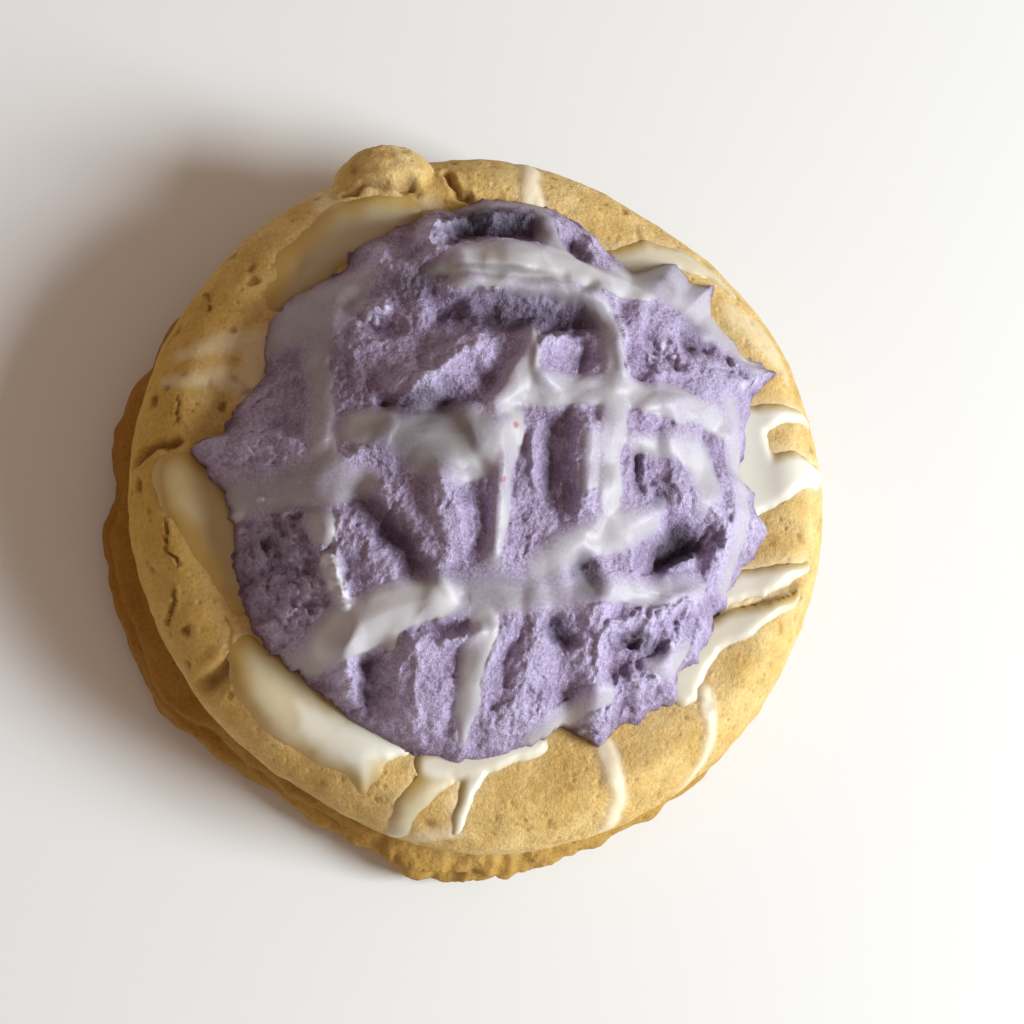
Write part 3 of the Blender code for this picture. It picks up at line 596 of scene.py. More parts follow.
# Folds and furrows, as (height, half width, points they run through); each comes to a torn crest
SCOOP_FOLDS = [
    (2.0, 5.4, [(-24, 28), (-12, 30.4), (0, 31.2), (9, 30.4), (18, 28.2)]),
    (1.4, 3.4, [(11.0, 25.0), (13.4, 20), (13.8, 14)]),
    (0.9, 4.2, [(13.6, 13), (13.2, 4), (12.6, -3)]),
    (-2.4, 3.6, [(-10, 22.4), (-2, 22.0), (5, 21.8), (9.6, 21.6)]),
    (1.8, 3.6, [(-16.8, 10.8), (-12, 13.8), (-6.0, 17.0)]),
    (-1.8, 3.4, [(-7.0, 14.0), (-3.4, 11.6)]),
    (1.5, 2.8, [(1.6, 18.6), (-1.0, 12), (-3.2, 8.6), (-2.6, 0), (-3.6, -12)]),
    (-1.4, 2.8, [(7.0, 8.0), (5.0, 5.0), (4.4, 0), (5.4, -6.6)]),
    (1.3, 2.4, [(9.6, 5.4), (9.2, -5)]),
    (2.0, 4.4, [(-11.4, -1.4), (-9.8, -5.4), (-8.4, -9.0)]),
    (-1.8, 2.6, [(-17.6, 8.2), (-12.8, 7.8), (-8, 9.2)]),
    (-1.6, 2.4, [(25.6, 25.8), (28.4, 24.2)]),
    (-2.0, 3.8, [(-21, -4.2), (-17.4, -8.6), (-13.4, -13.6)]),
    (1.4, 4.6, [(-36, -3), (-26, -1), (-17, 4), (-7, 4)]),
    (1.5, 4.4, [(-25, -25), (-18, -20.4), (-12, -18.0)]),
    (-1.6, 4.4, [(-7, -17), (0, -16.4), (8, -15.6)]),
    (-2.0, 2.8, [(9.2, -13.0), (11.2, -16.4)]),
    (-2.0, 2.2, [(5.6, -21.2), (8.2, -22.8)]),
    (1.6, 3.4, [(11.6, -18.4), (11.8, -23)]),
    (-1.6, 2.4, [(-12.6, -21.4), (-5.6, -20.8)]),
    (1.5, 1.4, [(-9.8, -23.8), (-7, -23.2), (-4.8, -22)]),
    (-6.4, 5.4, [(21.6, -11.4), (24.4, -9.4), (26.0, -8.6)]),
    (-1.8, 2.4, [(19.8, -1.6), (22.4, -4.6), (24.0, -7.4)]),
    (1.5, 1.4, [(22.0, -13.4), (24.4, -11.6), (27.0, -10.2)]),
    (1.4, 3.4, [(31, -10), (33.0, -5), (33.8, 1), (33.4, 8)]),
    (-0.9, 3.2, [(28, 5.6), (27.6, 0)]),
    (1.5, 2.4, [(15, -20.6), (22, -18.6), (29, -15)]),
    (-1.8, 1.9, [(16.4, -22.6), (21.6, -23.2)]),
    (1.4, 2.6, [(13, -30), (20, -28), (28, -21)]),
    (-1.2, 2.0, [(14.4, -26.2), (18, -25.4), (22, -23)]),
    (2.0, 3.8, [(-22.8, -24.4), (-21.0, -32)]),
    (-2.2, 2.2, [(-18.8, -26.6), (-18.0, -33)]),
    (1.8, 4.6, [(-13.2, -24.6), (-12.2, -36)]),
    (-0.9, 2.0, [(-7.0, -25), (-7.4, -35)]),
    (0.9, 3.2, [(2.6, -23), (2.0, -34)]),
    (-0.9, 1.8, [(-0.2, -25), (-1.2, -32)]),
    (-1.0, 1.8, [(10.2, -27), (9.4, -31)]),
    (-3.2, 3.6, [(-6.6, 36.2), (0, 36.9), (4.4, 36.4)]),
    (-1.4, 1.2, [(-9.6, 28.6), (-4, 28.2), (2, 27.9), (7, 27.6)]),
    (1.8, 2.2, [(-8.0, 38.6), (-1, 39.6), (7, 38.8)]),
    (2.8, 3.4, [(-11.4, 32.6), (-10.4, 36.6)]),
    (1.8, 2.6, [(-18.0, 31.8), (-16.6, 32.8)]),
    (1.6, 3.4, [(13.4, 36.2), (15, 33.4)]),
    (-2.0, 2.4, [(9.8, 35.2), (10.6, 32.4)]),
    (-3.0, 2.8, [(26.6, 21.0), (29.6, 20.6)]),
    (-2.4, 1.8, [(31.2, 27.8), (31.8, 29.4)]),
    (3.6, 1.6, [(33.4, 27.6), (32.6, 31.6)]),
    (1.8, 2.8, [(36, 19.6), (41.4, 19.4)]),
    (-1.5, 2.4, [(20.4, 20.8), (23.6, 17)]),
    (1.4, 4.2, [(24, 32.6), (27.6, 32.8)]),
    (-1.8, 1.4, [(17.0, 3), (17.2, -2)]),
    (-2.4, 1.6, [(10.2, 26.6), (10.6, 26.8)]),
    (-1.9, 2.0, [(-22.2, 24.2), (-21, 26)]),
    (1.4, 2.0, [(-20.4, 23.4), (-18, 23)]),
    (-1.8, 2.4, [(-19.4, 20.2), (-17, 20)]),
    (-1.4, 1.8, [(-30.4, 16.6), (-28, 16.2)]),
    (2.4, 2.0, [(-37.4, -4.6), (-36.0, -7.0)]),
    (2.2, 1.9, [(-24.6, -13.4), (-23.2, -18)]),
    (1.6, 2.6, [(-26.2, -8.4), (-25.6, -9.2)]),
]
# Ledges, as (height, reach, points), each raised on the left of the way it runs and sheer at its line
SCOOP_LEDGES = [
    (2.3, 4.6, [(-7, 25.2), (0, 25.4), (6, 25.0), (10, 24.0)]),
    (1.1, 2.2, [(-7, 28.0), (0, 28.0), (4, 27.2), (8, 26.0)]),
    (1.4, 3.6, [(-10, 32.0), (-6, 33.4), (1, 33.8), (5, 33.6)][::-1]),
    (1.8, 2.6, [(15.6, 14.4), (15.8, 20.4), (15.0, 25.6)]),
    (1.2, 2.6, [(7.4, 5), (7.4, 1), (7.8, -4)]),
    (1.4, 3.6, [(-4.6, -1), (-8, 6.4)][::-1]),
    (1.6, 3.4, [(-16.8, 8.6), (-13, 12.6), (-8, 15.6)][::-1]),
    (1.6, 3.6, [(-18.4, -5), (-15.4, -9.4), (-11.6, -14.6)]),
    (1.3, 3.0, [(1.4, 19.4), (5, 18.4), (9.6, 20)][::-1]),
    (1.2, 3.0, [(-22.6, -24), (-24.4, -30)]),
    (1.0, 2.2, [(17, 14.4), (20, 13.4), (23.4, 14.8)]),
]
# Torn faces that slope down to one side, as (x, y, half length, half width, turn of the length, rise,
# fall along x, fall along y)
SCOOP_FACES = [
    (6.2, 15.8, 4.8, 3.4, 55, 0.6, 0.46, 0.12),
    (18.4, 18.2, 4.2, 2.8, 70, -0.5, 0.10, 0.12),
    (-8.4, -6.4, 6.0, 3.4, 115, 0.3, 0.26, 0.0),
    (3.0, 1.0, 5.0, 1.8, 90, 0.2, 0.28, 0.0),
    (24.0, 8.6, 6.0, 3.0, 0, 0.2, 0.12, 0.10),
    (-8.6, 15.8, 5.0, 1.9, 30, 0.2, 0.12, 0.20),
    (23.6, -19.8, 5.4, 3.4, 35, 0.3, 0.16, 0.16),
    (-9.8, 34.8, 3.6, 2.8, 80, 0.8, 0.50, 0.2),
    (-17.2, 32.3, 2.6, 1.9, 40, 0.6, 0.4, 0.3),
    (14.8, -23.8, 4.0, 2.6, 80, 0.3, 0.22, 0.10),
    (31.0, -13.0, 4.6, 2.4, 65, 0.2, 0.10, 0.10),
    (-22.0, -28.6, 5.0, 2.4, 98, 0.2, 0.26, 0.06),
    (-12.4, -30.2, 5.6, 3.2, 92, 0.3, 0.16, 0.06),
]
# Where the buttercream is most broken up, as (x, y, reach, strength)
CRUMBLED = [
    (-32, -12, 9, 1.0), (-29, -19, 8, 1.0), (22, -20, 8, 1.0), (15, -31, 7, 0.9), (-22, -28, 6, 0.7),
    (-37, 2, 6, 0.8), (-6, 39, 7, 0.8), (38, 18, 6, 0.9), (24, -10, 4, 0.6), (-20, 23, 3, 0.7),
    (22, 18, 4, 0.6), (18, -28.6, 5, 1.0), (14, -34, 5, 1.0), (2, -34, 6, 0.6), (34, -9, 6, 0.8),
    (-36, 12, 6, 0.5), (-28, 30, 5, 0.4), (26, 34, 5, 0.5),
]
# Painted shade: patches where the cream is coloured darker because it lies in shade, as (x, y, half length,
# half width, turn of the length, share)
SHADE_PATCHES = [
    (1, 22.0, 11.5, 3.2, 0, 0.48), (-12.6, 27, 4.5, 3.0, 20, 0.5), (4.6, -1, 7.0, 1.9, 88, 0.16),
    (-16.6, -9.6, 7.5, 2.4, 130, 0.4), (-1.2, 38.5, 8.4, 3.6, 0, 0.7), (-2.0, 28.3, 8.0, 0.6, -3, 0.4),
    (10.2, 33.8, 2.2, 2.6, 0, 0.3), (9.6, -14.4, 3.4, 2.4, 100, 0.45), (-33, -12, 7, 7, 0, 0.25),
    (-12.6, 8.4, 6, 2.2, 8, 0.5), (-13, 3.4, 10, 4.6, 0, 0.36), (-31, -2.4, 8, 4.0, 0, 0.2),
    (27.4, 22.6, 2.4, 3.6, 0, 0.4), (20.5, -3.2, 2.2, 1.6, 40, 0.4), (16.8, 0.4, 4.0, 1.0, 90, 0.35),
    (24.2, -8.8, 4.6, 3.0, 30, 0.72), (-8.6, -15.2, 3.0, 1.8, 0, 0.4), (-4, -17, 8, 2.4, 0, 0.2),
    (6.4, -21.8, 3.0, 2.2, -30, 0.4), (19.4, -22.8, 4.6, 1.6, -8, 0.38),
    (-18.4, -29.6, 4.0, 1.6, 96, 0.3), (-27, 18, 8, 14, 0, 0.2),
]
# Grains of sugar that didn't melt, and two tiny pink flecks, as (x, y, half width)
SUGAR_GRAINS = [
    (-21.2, 20.6, 0.7), (-20.0, 21.8, 0.6), (-18.8, 21.2, 0.5), (-17.8, 23.0, 0.6), (-17.4, 24.2, 0.4),
    (-30.6, -6.2, 0.6), (-36.6, -5.4, 0.8), (-36.2, -7.4, 0.6), (-34.0, -3.8, 0.5), (-29.4, -9.0, 0.4),
    (-27.6, -16.0, 0.5), (-30.2, -20.4, 0.5), (20.6, 17.4, 0.5), (22.2, 19.6, 0.6), (23.6, 18.2, 0.4),
    (31.8, -3.6, 0.5), (24.0, -22.6, 0.6), (18.4, -27.6, 0.5), (-8.2, 37.0, 0.5), (-11.0, 36.2, 0.6),
    (37.6, 17.0, 0.6), (35.2, 15.2, 0.5), (-21.6, -30.2, 0.5), (12.4, -34.4, 0.5), (-25.4, -12.8, 0.9),
    (-24.2, -14.6, 0.8), (-24.6, -16.2, 0.8), (-23.0, -17.6, 0.8), (-22.6, -19.2, 0.6),
]
PINK_FLECKS = [(-0.5, 5.5, 0.55), (-2.5, -2.3, 0.5)]
# The glaze that fell on the scoop, as (thickness, milkiness, reach of its edge, run of (x, y, half width))
SCOOP_DRIZZLE = {
    "upper_left_sheet": (0.35, 0.48, 3.0, [
        (-33, 20.0, 3.4), (-28, 23.0, 6.0), (-23.5, 26.2, 4.6), (-20, 29.0, 2.6),
    ]),
    "upper_left_link": (0.35, 0.42, 2.6, [(-30.5, 32, 4.0), (-26.6, 27, 4.4)]),
    "upper_band": (0.5, 0.80, 1.5, [
        (-11.6, 28.6, 1.2), (-6.5, 30.0, 2.7), (-1.2, 30.4, 3.1), (3.4, 30.4, 3.5), (7, 30.2, 3.6),
        (11.5, 28.8, 2.6), (16, 28.4, 2.4), (19.5, 27.6, 2.0),
    ]),
    "upper_right_sheet": (0.35, 0.56, 2.4, [
        (17, 31, 3.0), (22, 31.0, 4.2), (28, 28.6, 5.0), (33, 25, 4.4), (38, 20.6, 3.0),
    ]),
    "upper_right_lobe": (0.3, 0.40, 2.2, [(22, 35, 2.0), (27, 33.4, 2.6), (31, 30, 1.8)]),
    "lip_line": (0.35, 0.66, 1.0, [(-8.4, 26.4, 1.1), (-2, 26.6, 1.6), (3, 26.3, 1.6), (8, 25.4, 1.4)]),
    "top_drop": (0.35, 0.55, 1.5, [(5.6, 39.4, 1.6), (6.2, 36, 1.8), (6.8, 32.6, 2.2)]),
    "top_rim": (0.2, 0.3, 1.6, [(-9, 41.6, 1.4), (0, 42.6, 1.4), (7, 42, 1.4)]),
    "middle_left_knob": (0.5, 0.62, 1.6, [(-22.4, 5.2, 2.6), (-18.5, 5.8, 3.0)]),
    "middle_left": (0.5, 0.62, 2.4, [(-18.5, 4.6, 3.0), (-13, 3.9, 4.8), (-7, 3.6, 5.2), (-3, 4, 3.2)]),
    "middle_left_tip": (0.4, 0.5, 2.4, [(-14, 0.6, 2.4), (-9, -0.6, 3.0), (-5, 0.6, 2.6)]),
    "middle_left_sheet": (0.4, 0.48, 2.4, [
        (-37, -2.6, 3.4), (-32, -2.4, 3.6), (-26, -2.2, 3.8), (-21.5, -2.2, 3.0),
    ]),
    "left_upright": (0.35, 0.46, 1.4, [
        (-26.8, 18, 2.2), (-26.6, 10, 2.1), (-26.5, 4, 2.2), (-26.3, -1, 2.6),
    ]),
    "centre_upright": (0.8, 0.62, 1.6, [
        (1.7, 19.6, 1.3), (1.4, 15.5, 1.5), (-0.6, 11.5, 2.4), (-2.6, 8.6, 2.2),
    ]),
    "centre_upright_low": (0.5, 0.62, 1.8, [
        (-1, 7, 2.0), (-2, 3, 2.2), (-2.6, -2, 1.8), (-3, -7, 1.7), (-3.8, -12.6, 1.6),
    ]),
    "middle_right": (0.45, 0.56, 1.2, [
        (0, 11, 2.4), (8, 11.4, 2.5), (15, 11.6, 2.6), (22, 11.0, 2.8), (28, 9.8, 2.4), (33, 8.4, 2.0),
    ]),
    "right_upright": (0.5, 0.57, 1.0, [
        (9.6, 25.4, 1.3), (11.6, 24.4, 1.8), (13.2, 21, 1.9), (13.6, 16, 1.9), (13.2, 10, 2.2),
        (13.2, 5, 2.0), (12.9, 1, 1.8), (12.6, -3.4, 1.7), (12.4, -7, 1.6),
    ]),
    "short_upright": (0.3, 0.5, 1.0, [(9.4, 4.4, 1.6), (9.2, -2, 1.7)]),
    "right_crossing": (0.6, 0.56, 2.0, [
        (16.6, 4.6, 1.7), (20.5, 4.6, 2.3), (24, 5.0, 2.8), (27, 3.2, 3.4), (28.2, -0.6, 3.0),
        (27.2, -3.2, 1.8),
    ]),
    "slanting_pool": (0.6, 0.62, 2.2, [
        (2.0, -13.8, 1.9), (6.6, -11, 3.0), (11.5, -8.8, 3.3), (15.5, -7.2, 3.0), (18.8, -6.0, 2.6),
        (20.2, -3.6, 1.6),
    ]),
    "right_edge_sheet": (0.3, 0.5, 1.8, [
        (32.6, 13, 1.8), (33.8, 8, 2.4), (34.4, 3, 2.6), (34.4, -2, 2.4), (33.6, -8, 2.0),
        (32.4, -13, 1.8),
    ]),
    "lower_band_end": (0.3, 0.5, 2.0, [(-31.4, -26.4, 2.4), (-27, -25, 3.0), (-24, -23.6, 2.8)]),
    "lower_band_left": (0.4, 0.88, 2.0, [
        (-24.8, -23.2, 3.2), (-20.6, -21.2, 4.0), (-15.4, -19.0, 3.9), (-11, -17.8, 3.3),
    ]),
    "lower_band_tongue": (0.4, 0.85, 1.2, [(-16.8, -21, 2.0), (-16.4, -24.2, 1.2)]),
    "lower_band": (0.4, 0.40, 2.6, [
        (-10, -17.4, 3.4), (-4, -16.8, 3.8), (3, -16.6, 3.4), (9, -16.4, 3.0), (13, -16, 2.6),
    ]),
    "lower_band_right": (0.35, 0.5, 2.2, [(13, -16, 2.6), (20, -15.6, 2.6), (27, -14.2, 2.4)]),
    "lower_upright": (0.45, 0.7, 1.3, [
        (-4.2, -20, 1.9), (-4.7, -24, 2.2), (-5.3, -29, 1.9), (-5.6, -33, 1.6), (-5.4, -35.6, 1.0),
    ]),
    "lower_slant": (0.45, 0.58, 1.4, [(4.6, -35.4, 1.4), (8.8, -32.6, 2.0), (13.6, -29.6, 2.4)]),
    "lower_slant_end": (0.4, 0.56, 1.2, [(20.2, -25.6, 1.2), (23.0, -25.6, 2.0), (26.4, -23.2, 1.7)]),
    "stray_drop": (0.45, 0.7, 1.4, [(-26.6, -7.2, 1.9), (-25.8, -9.2, 2.0)]),
    "stray_peak": (0.4, 0.8, 0.8, [(-25.2, -12.6, 1.1), (-24.4, -15, 1.4), (-23.4, -18.4, 1.0)]),
}


def scoop_share(x, y):
    """How far out a point lies under the scoop: 0 in the middle and 1 on its outline."""
    return np.hypot(x, y) / outline_radius(SCOOP_OUTLINE, np.arctan2(y, x))


def torn_chunks(x, y, size, slope, drop, sharpness):
    """Relief of broken cream: tilted facets that step up and down where one chunk tore off the next."""
    px = x / size + 0.45 * grain(x, y, np.full_like(x, 7.0), size * 0.8)
    py = y / size + 0.45 * grain(x, y, np.full_like(x, 11.0), size * 0.8)
    cells = [noise.voronoi((a, b, 0.0)) for a, b in zip(px.ravel().tolist(), py.ravel().tolist())]
    gap = np.array([cell[0][1] - cell[0][0] for cell in cells]).reshape(np.shape(x))

    def facet(which):
        cx, cy = (np.array([cell[1][which][axis] for cell in cells]).reshape(np.shape(x)) for axis in (0, 1))
        level = np.sin(cx * 127.1 + cy * 311.7) * 43758.5453
        turn = 2 * math.pi * np.sin(cx * 269.5 + cy * 183.3) * 43758.5453
        tilt = (px - cx) * np.cos(turn) + (py - cy) * np.sin(turn)
        return 2 * drop * (level - np.floor(level) - 0.5) + slope * size * tilt

    keep = ease(0.5 + gap * sharpness)
    return facet(0) * keep + facet(1) * (1 - keep)


def ledge_lift(x, y, height, reach, points):
    """A ledge along a line: it stands up sheer on one side and dies away over its reach."""
    nearest = np.full(np.shape(x), np.inf)
    side = np.zeros(np.shape(x))
    for (ax, ay), (bx, by) in zip(points, points[1:]):
        _, away = nearest_on(x, y, ax, ay, bx, by)
        dx, dy = bx - ax, by - ay
        across = (dx * (y - ay) - dy * (x - ax)) / math.hypot(dx, dy)
        side = np.where(away < nearest, across, side)
        nearest = np.minimum(nearest, away)
    return height * np.exp(-((nearest / reach) ** 2)) * ease(0.5 + side / 1.3)


def oval_share(x, y, cx, cy, half_length, half_width, turn):
    """How far out each point lies on an oval patch turned this many degrees: 1 on its edge."""
    cosine, sine = math.cos(math.radians(turn)), math.sin(math.radians(turn))
    along = ((x - cx) * cosine + (y - cy) * sine) / half_length
    across = ((y - cy) * cosine - (x - cx) * sine) / half_width
    return np.hypot(along, across)


def scoop_form(x, y):
    """Height of the scoop without its fine grain: a low dome with its folds, ledges and main chunks."""
    share = np.minimum(1.0, scoop_share(x, y))
    dome = SCOOP_HEIGHT * (1.0 - share**SCOOP_FLATNESS) ** SCOOP_SHOULDER
    bend_x = x + 0.8 * grain(x, y, np.full_like(x, 21.0), 3.2)
    bend_y = y + 0.8 * grain(x, y, np.full_like(x, 25.0), 3.2)
    relief = 0.5 * torn_chunks(x, y, 7.5, 0.22, 0.6, 2.4) + 0.4 * grain(x, y, np.full_like(x, 2.0), 4.5)
    for height, half_width, points in SCOOP_FOLDS:
        away = away_from_line(bend_x, bend_y, points) / half_width
        relief = relief + height * np.maximum(0, 1 - away) ** 1.25
    for height, reach, points in SCOOP_LEDGES:
        relief = relief + ledge_lift(bend_x, bend_y, height, reach, points)
    for cx, cy, half_length, half_width, turn, rise, fall_x, fall_y in SCOOP_FACES:
        far_out = oval_share(bend_x, bend_y, cx, cy, half_length, half_width, turn)
        face = rise - fall_x * (bend_x - cx) + fall_y * (bend_y - cy)
        relief = relief + face * ease((1.25 - far_out) * 3.0)
    return dome + relief * ease((1.0 - share) * 9.0)


def brokenness(x, y):
    """How much the cream is crumbled at each point, from a little to wholly."""
    broken = np.full_like(x, 0.14)
    for cx, cy, reach, strength in CRUMBLED:
        broken = np.maximum(broken, strength * np.exp(-(((x - cx) ** 2 + (y - cy) ** 2) / reach**2)))
    return broken


def scoop_grain(x, y):
    """The torn face of the cream: smaller chunks, fibres drawn the way it tore, and sugary grains."""
    zero = np.zeros_like(x)
    broken = brokenness(x, y)
    along = (0.42 * x + 0.91 * y) + 1.2 * grain(x, y, zero, 7.0)
    across = (0.91 * x - 0.42 * y) + 1.2 * grain(x, y, zero + 4, 7.0)
    relief = torn_chunks(x, y, 3.8, 0.24, 0.30, 2.2) * (0.2 + broken)
    relief += torn_chunks(x, y, 1.7, 0.40, 0.30, 2.4) * broken
    relief += 0.17 * grain(along * 0.25, across, zero, 1.1)
    relief += 0.15 * grain(along * 0.35, across, zero + 2, 0.6)
    relief += broken * 0.9 * (0.3 - np.abs(grain(x, y, zero + 6, 2.0)))
    return relief + (0.15 + 0.32 * broken) * grain(x, y, zero + 3, 0.62)


def spotted(x, y, spots):
    """1 in the middle of the nearest small spot and 0 off them all."""
    away = [np.hypot(x - cx, y - cy) / half_width for cx, cy, half_width in spots]
    return ease((1.1 - np.minimum.reduce(away) + 0.5 * grain(x, y, np.zeros_like(x), 0.6)) * 1.6)


glaze_depth, glaze_milk = poured(SCOOP_DRIZZLE, 0.28)
in_scoop = scoop_share(field_u, field_v) < 1.0
lift_field = np.zeros_like(field_u)
lift_field[~in_scoop] = crust_lift(field_u[~in_scoop], field_v[~in_scoop])
lift_field[in_scoop] = SEAT_GAP + scoop_form(field_u[in_scoop], field_v[in_scoop])
smooth_lift = blur(lift_field, 0.75)
broad_lift = blur(lift_field, 2.2)

rings = [np.zeros((1, 2))]
for ring in range(1, SCOOP_RINGS + 1):
    turn = 2 * math.pi * np.arange(6 * ring) / (6 * ring)
    rings.append(np.stack([np.full(6 * ring, ring / SCOOP_RINGS), turn], 1))
share, turn = np.concatenate(rings).T
edge = outline_radius(SCOOP_OUTLINE, turn)
edge_x, edge_y, level = edge * np.cos(turn), edge * np.sin(turn), np.zeros_like(turn)
ragged = 0.75 * (0.7 + 0.9 * brokenness(edge_x, edge_y)) * grain(edge_x, edge_y, level + 8.0, 4.6)
ragged += 0.85 * grain(edge_x, edge_y, level, 2.2)
ragged += 0.6 * grain(edge_x, edge_y, level, 0.9)
radius = share * (edge + ragged * share**6)
drawn_out = np.zeros_like(turn)
for tip, reach, half_width in SCOOP_TIPS:
    aside = (np.degrees(turn) - tip + 180) % 360 - 180
    sharpness = LONG_TIP_SHARPNESS if reach > LONG_TIP else SHORT_TIP_SHARPNESS
    drawn_out += reach * np.maximum(0, 1 - abs(aside) / (TIP_SPREAD * half_width)) ** sharpness
x, y = radius * np.cos(turn), radius * np.sin(turn)
form = scoop_form(x, y)
smooth_form = sample(smooth_lift, x, y) - SEAT_GAP
broad_form = sample(broad_lift, x, y) - SEAT_GAP
radius += share * drawn_out * share**8
x, y = radius * np.cos(turn), radius * np.sin(turn)
rough = scoop_grain(x, y)
fade = ease((1.0 - share) * 36.0)
depth = np.clip(sample(glaze_depth, x, y), 0, 2)
covered = ease(depth / 0.16)
skin = smooth_form + depth + 0.25 * (form - smooth_form) + 0.04 * rough
height = (form + rough * fade) * (1 - covered) + skin * covered
height = np.maximum(height, 0.25)
film = sample(glaze_milk, x, y) * (1 + np.clip(0.22 * (broad_form - smooth_form), -0.35, 0.35))
film *= 1 + 0.3 * grain(x, y, np.zeros_like(x), 4.0)
film = np.clip(film * (0.35 + 0.65 * covered) * ease((1.0 - share) * 60), 0, 1)
# Painted light and shade: paler where the cream stands above its blurred surface, darker in its hollows and
# fine grain
relief_light_and_shade = 0.5 + (height - broad_form) * 0.25 + rough * 0.22 * (1 - covered)
# Painted shade: the cream's colour is darkened in the listed patches that lie in shade
painted_shade = np.zeros_like(x)
soft_edge = 0.25 * grain(x, y, height, 2.0)
for cx, cy, half_length, half_width, slant, strength in SHADE_PATCHES:
    far_out = oval_share(x, y, cx, cy, half_length, half_width, slant)
    painted_shade = np.maximum(painted_shade, strength * ease(1.6 - 1.3 * far_out + soft_edge))
sugar_spots = spotted(x, y, SUGAR_GRAINS)
height = height + 0.3 * sugar_spots * (1 + 0.8 * grain(x, y, height, 0.5))
x = x + 0.3 * fade * grain(x, y, height, 1.3) * (1 - covered)
y = y + 0.3 * fade * grain(x, y, height + 5, 1.3) * (1 - covered)
points = np.stack([x, y, SCOOP_BASE + height], 1)
starts = np.concatenate([[0], np.cumsum([len(ring) for ring in rings])])
outer_edge = np.arange(starts[-2], starts[-1])
points[outer_edge, 2] = COOKIE_TOP + crust_lift(x[outer_edge], y[outer_edge]) - EDGE_SINK
seat = points[outer_edge] * (UNDER_SHARE, UNDER_SHARE, 0.0) + (0.0, 0.0, SCOOP_BASE)
faces = []
for count in range(1, SCOOP_RINGS + 1):
    inner, outer = starts[count - 1], starts[count]
    step = np.tile(np.arange(count), 6)
    sector = np.repeat(np.arange(6), count)
    here = sector * count + step
    below = inner + (sector * (count - 1) + step) % max(1, 6 * (count - 1))
    faces += np.stack([below, outer + here, outer + (here + 1) % (6 * count)], 1).tolist()
    inside = step < count - 1
    across = inner + (sector * (count - 1) + step + 1) % max(1, 6 * (count - 1))
    faces += np.stack([below, outer + (here + 1) % (6 * count), across], 1)[inside].tolist()
under_edge = starts[-1] + np.arange(len(seat))
faces += np.stack([outer_edge, under_edge, np.roll(under_edge, -1), np.roll(outer_edge, -1)], 1).tolist()
faces.append(under_edge[::-1].tolist())
scoop = mesh_object("buttercream_scoop", np.concatenate([points, seat]), faces)
for name, values, under in (
    ("relief_light_and_shade", np.clip(relief_light_and_shade, 0, 1), 0.5),
    ("film", film, 0.0),
    ("painted_shade", painted_shade, 0.0),
    ("sugar", 0.65 * sugar_spots, 0.0),
    ("fleck", 0.8 * spotted(x, y, PINK_FLECKS), 0.0),
):
    paint(scoop, name, np.concatenate([values, np.full(len(seat), under)]))


def buttercream_material():
    """Whipped buttercream: soft lavender, with painted light on its torn crests and painted shade in its
    hollows and in listed patches.
    """
    cream = Finish("lavender_buttercream")
    cloud = cream.clouds(160.0, 5.0)
    grit = cream.clouds(2100.0, 3.0, 0.7)
    crystals = cream.cells(1900.0)
    film = cream.painted("film")
    # Painted shade in the hollows and painted light on the crests, from the relief value
    colour = cream.ramp(
        cream.painted("relief_light_and_shade"),
        (0.05, (0.19, 0.13, 0.225)), (0.5, (0.37, 0.305, 0.49)), (0.95, (0.495, 0.44, 0.66)),
    )
    speck = cream.mapped(grit, 0.34, 0.66, 0.72, 1.24)
    shade = cream.maths("MULTIPLY", speck, cream.mapped(cloud, 0.3, 0.7, 0.88, 1.12))
    colour = cream.dimmed(colour, shade)
    # Pale sugar crystals in the grain, brightened as painted glints
    crystal = cream.mapped(crystals, 0.34, 0.12, 0.0, 0.5)
    crystal_glint = cream.maths("MULTIPLY", crystal, cream.mapped(grit, 0.48, 0.60))
    colour = cream.mixed(crystal_glint, colour, (0.78, 0.76, 0.92, 1))
    milky = cream.ramp(
        film, (0.25, (0.34, 0.335, 0.345)), (0.6, (0.45, 0.45, 0.48)), (0.95, (0.60, 0.60, 0.65))
    )
    colour = cream.mixed(cream.mapped(film, 0.0, 0.72), colour, milky)
    colour = cream.mixed(cream.painted("sugar"), colour, (0.74, 0.72, 0.86, 1))
    colour = cream.mixed(cream.painted("fleck"), colour, (0.34, 0.10, 0.11, 1))
    # Painted shade: darkens the colour in the listed shade patches
    colour = cream.dimmed(colour, cream.maths("SUBTRACT", 1.0, cream.painted("painted_shade")))
    cream.put(cream.shader["Base Color"], colour)
    cream.put(cream.shader["Roughness"], cream.mapped(film, 0.0, 0.5, 0.72, 0.46))
    cream.body(0.15, (1.0, 0.8, 0.9), 0.0006)
    cream.bump(grit, cream.mapped(film, 0.0, 0.3, 0.8, 0.0), 0.0006)
    return cream.material


scoop.data.materials.append(buttercream_material())
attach(scoop, "root")
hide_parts("frosting")

# The glaze: powdered sugar and milk, drizzled to and fro while it was runny and set to a smooth satin
# skin. On the cookie it gathered in pools with rounded edges, and on the scoop it sank into the
# cream and sheeted over its folds. Where it is thin, what it lies on shows through.
GLAZE_ROOT = 0.7


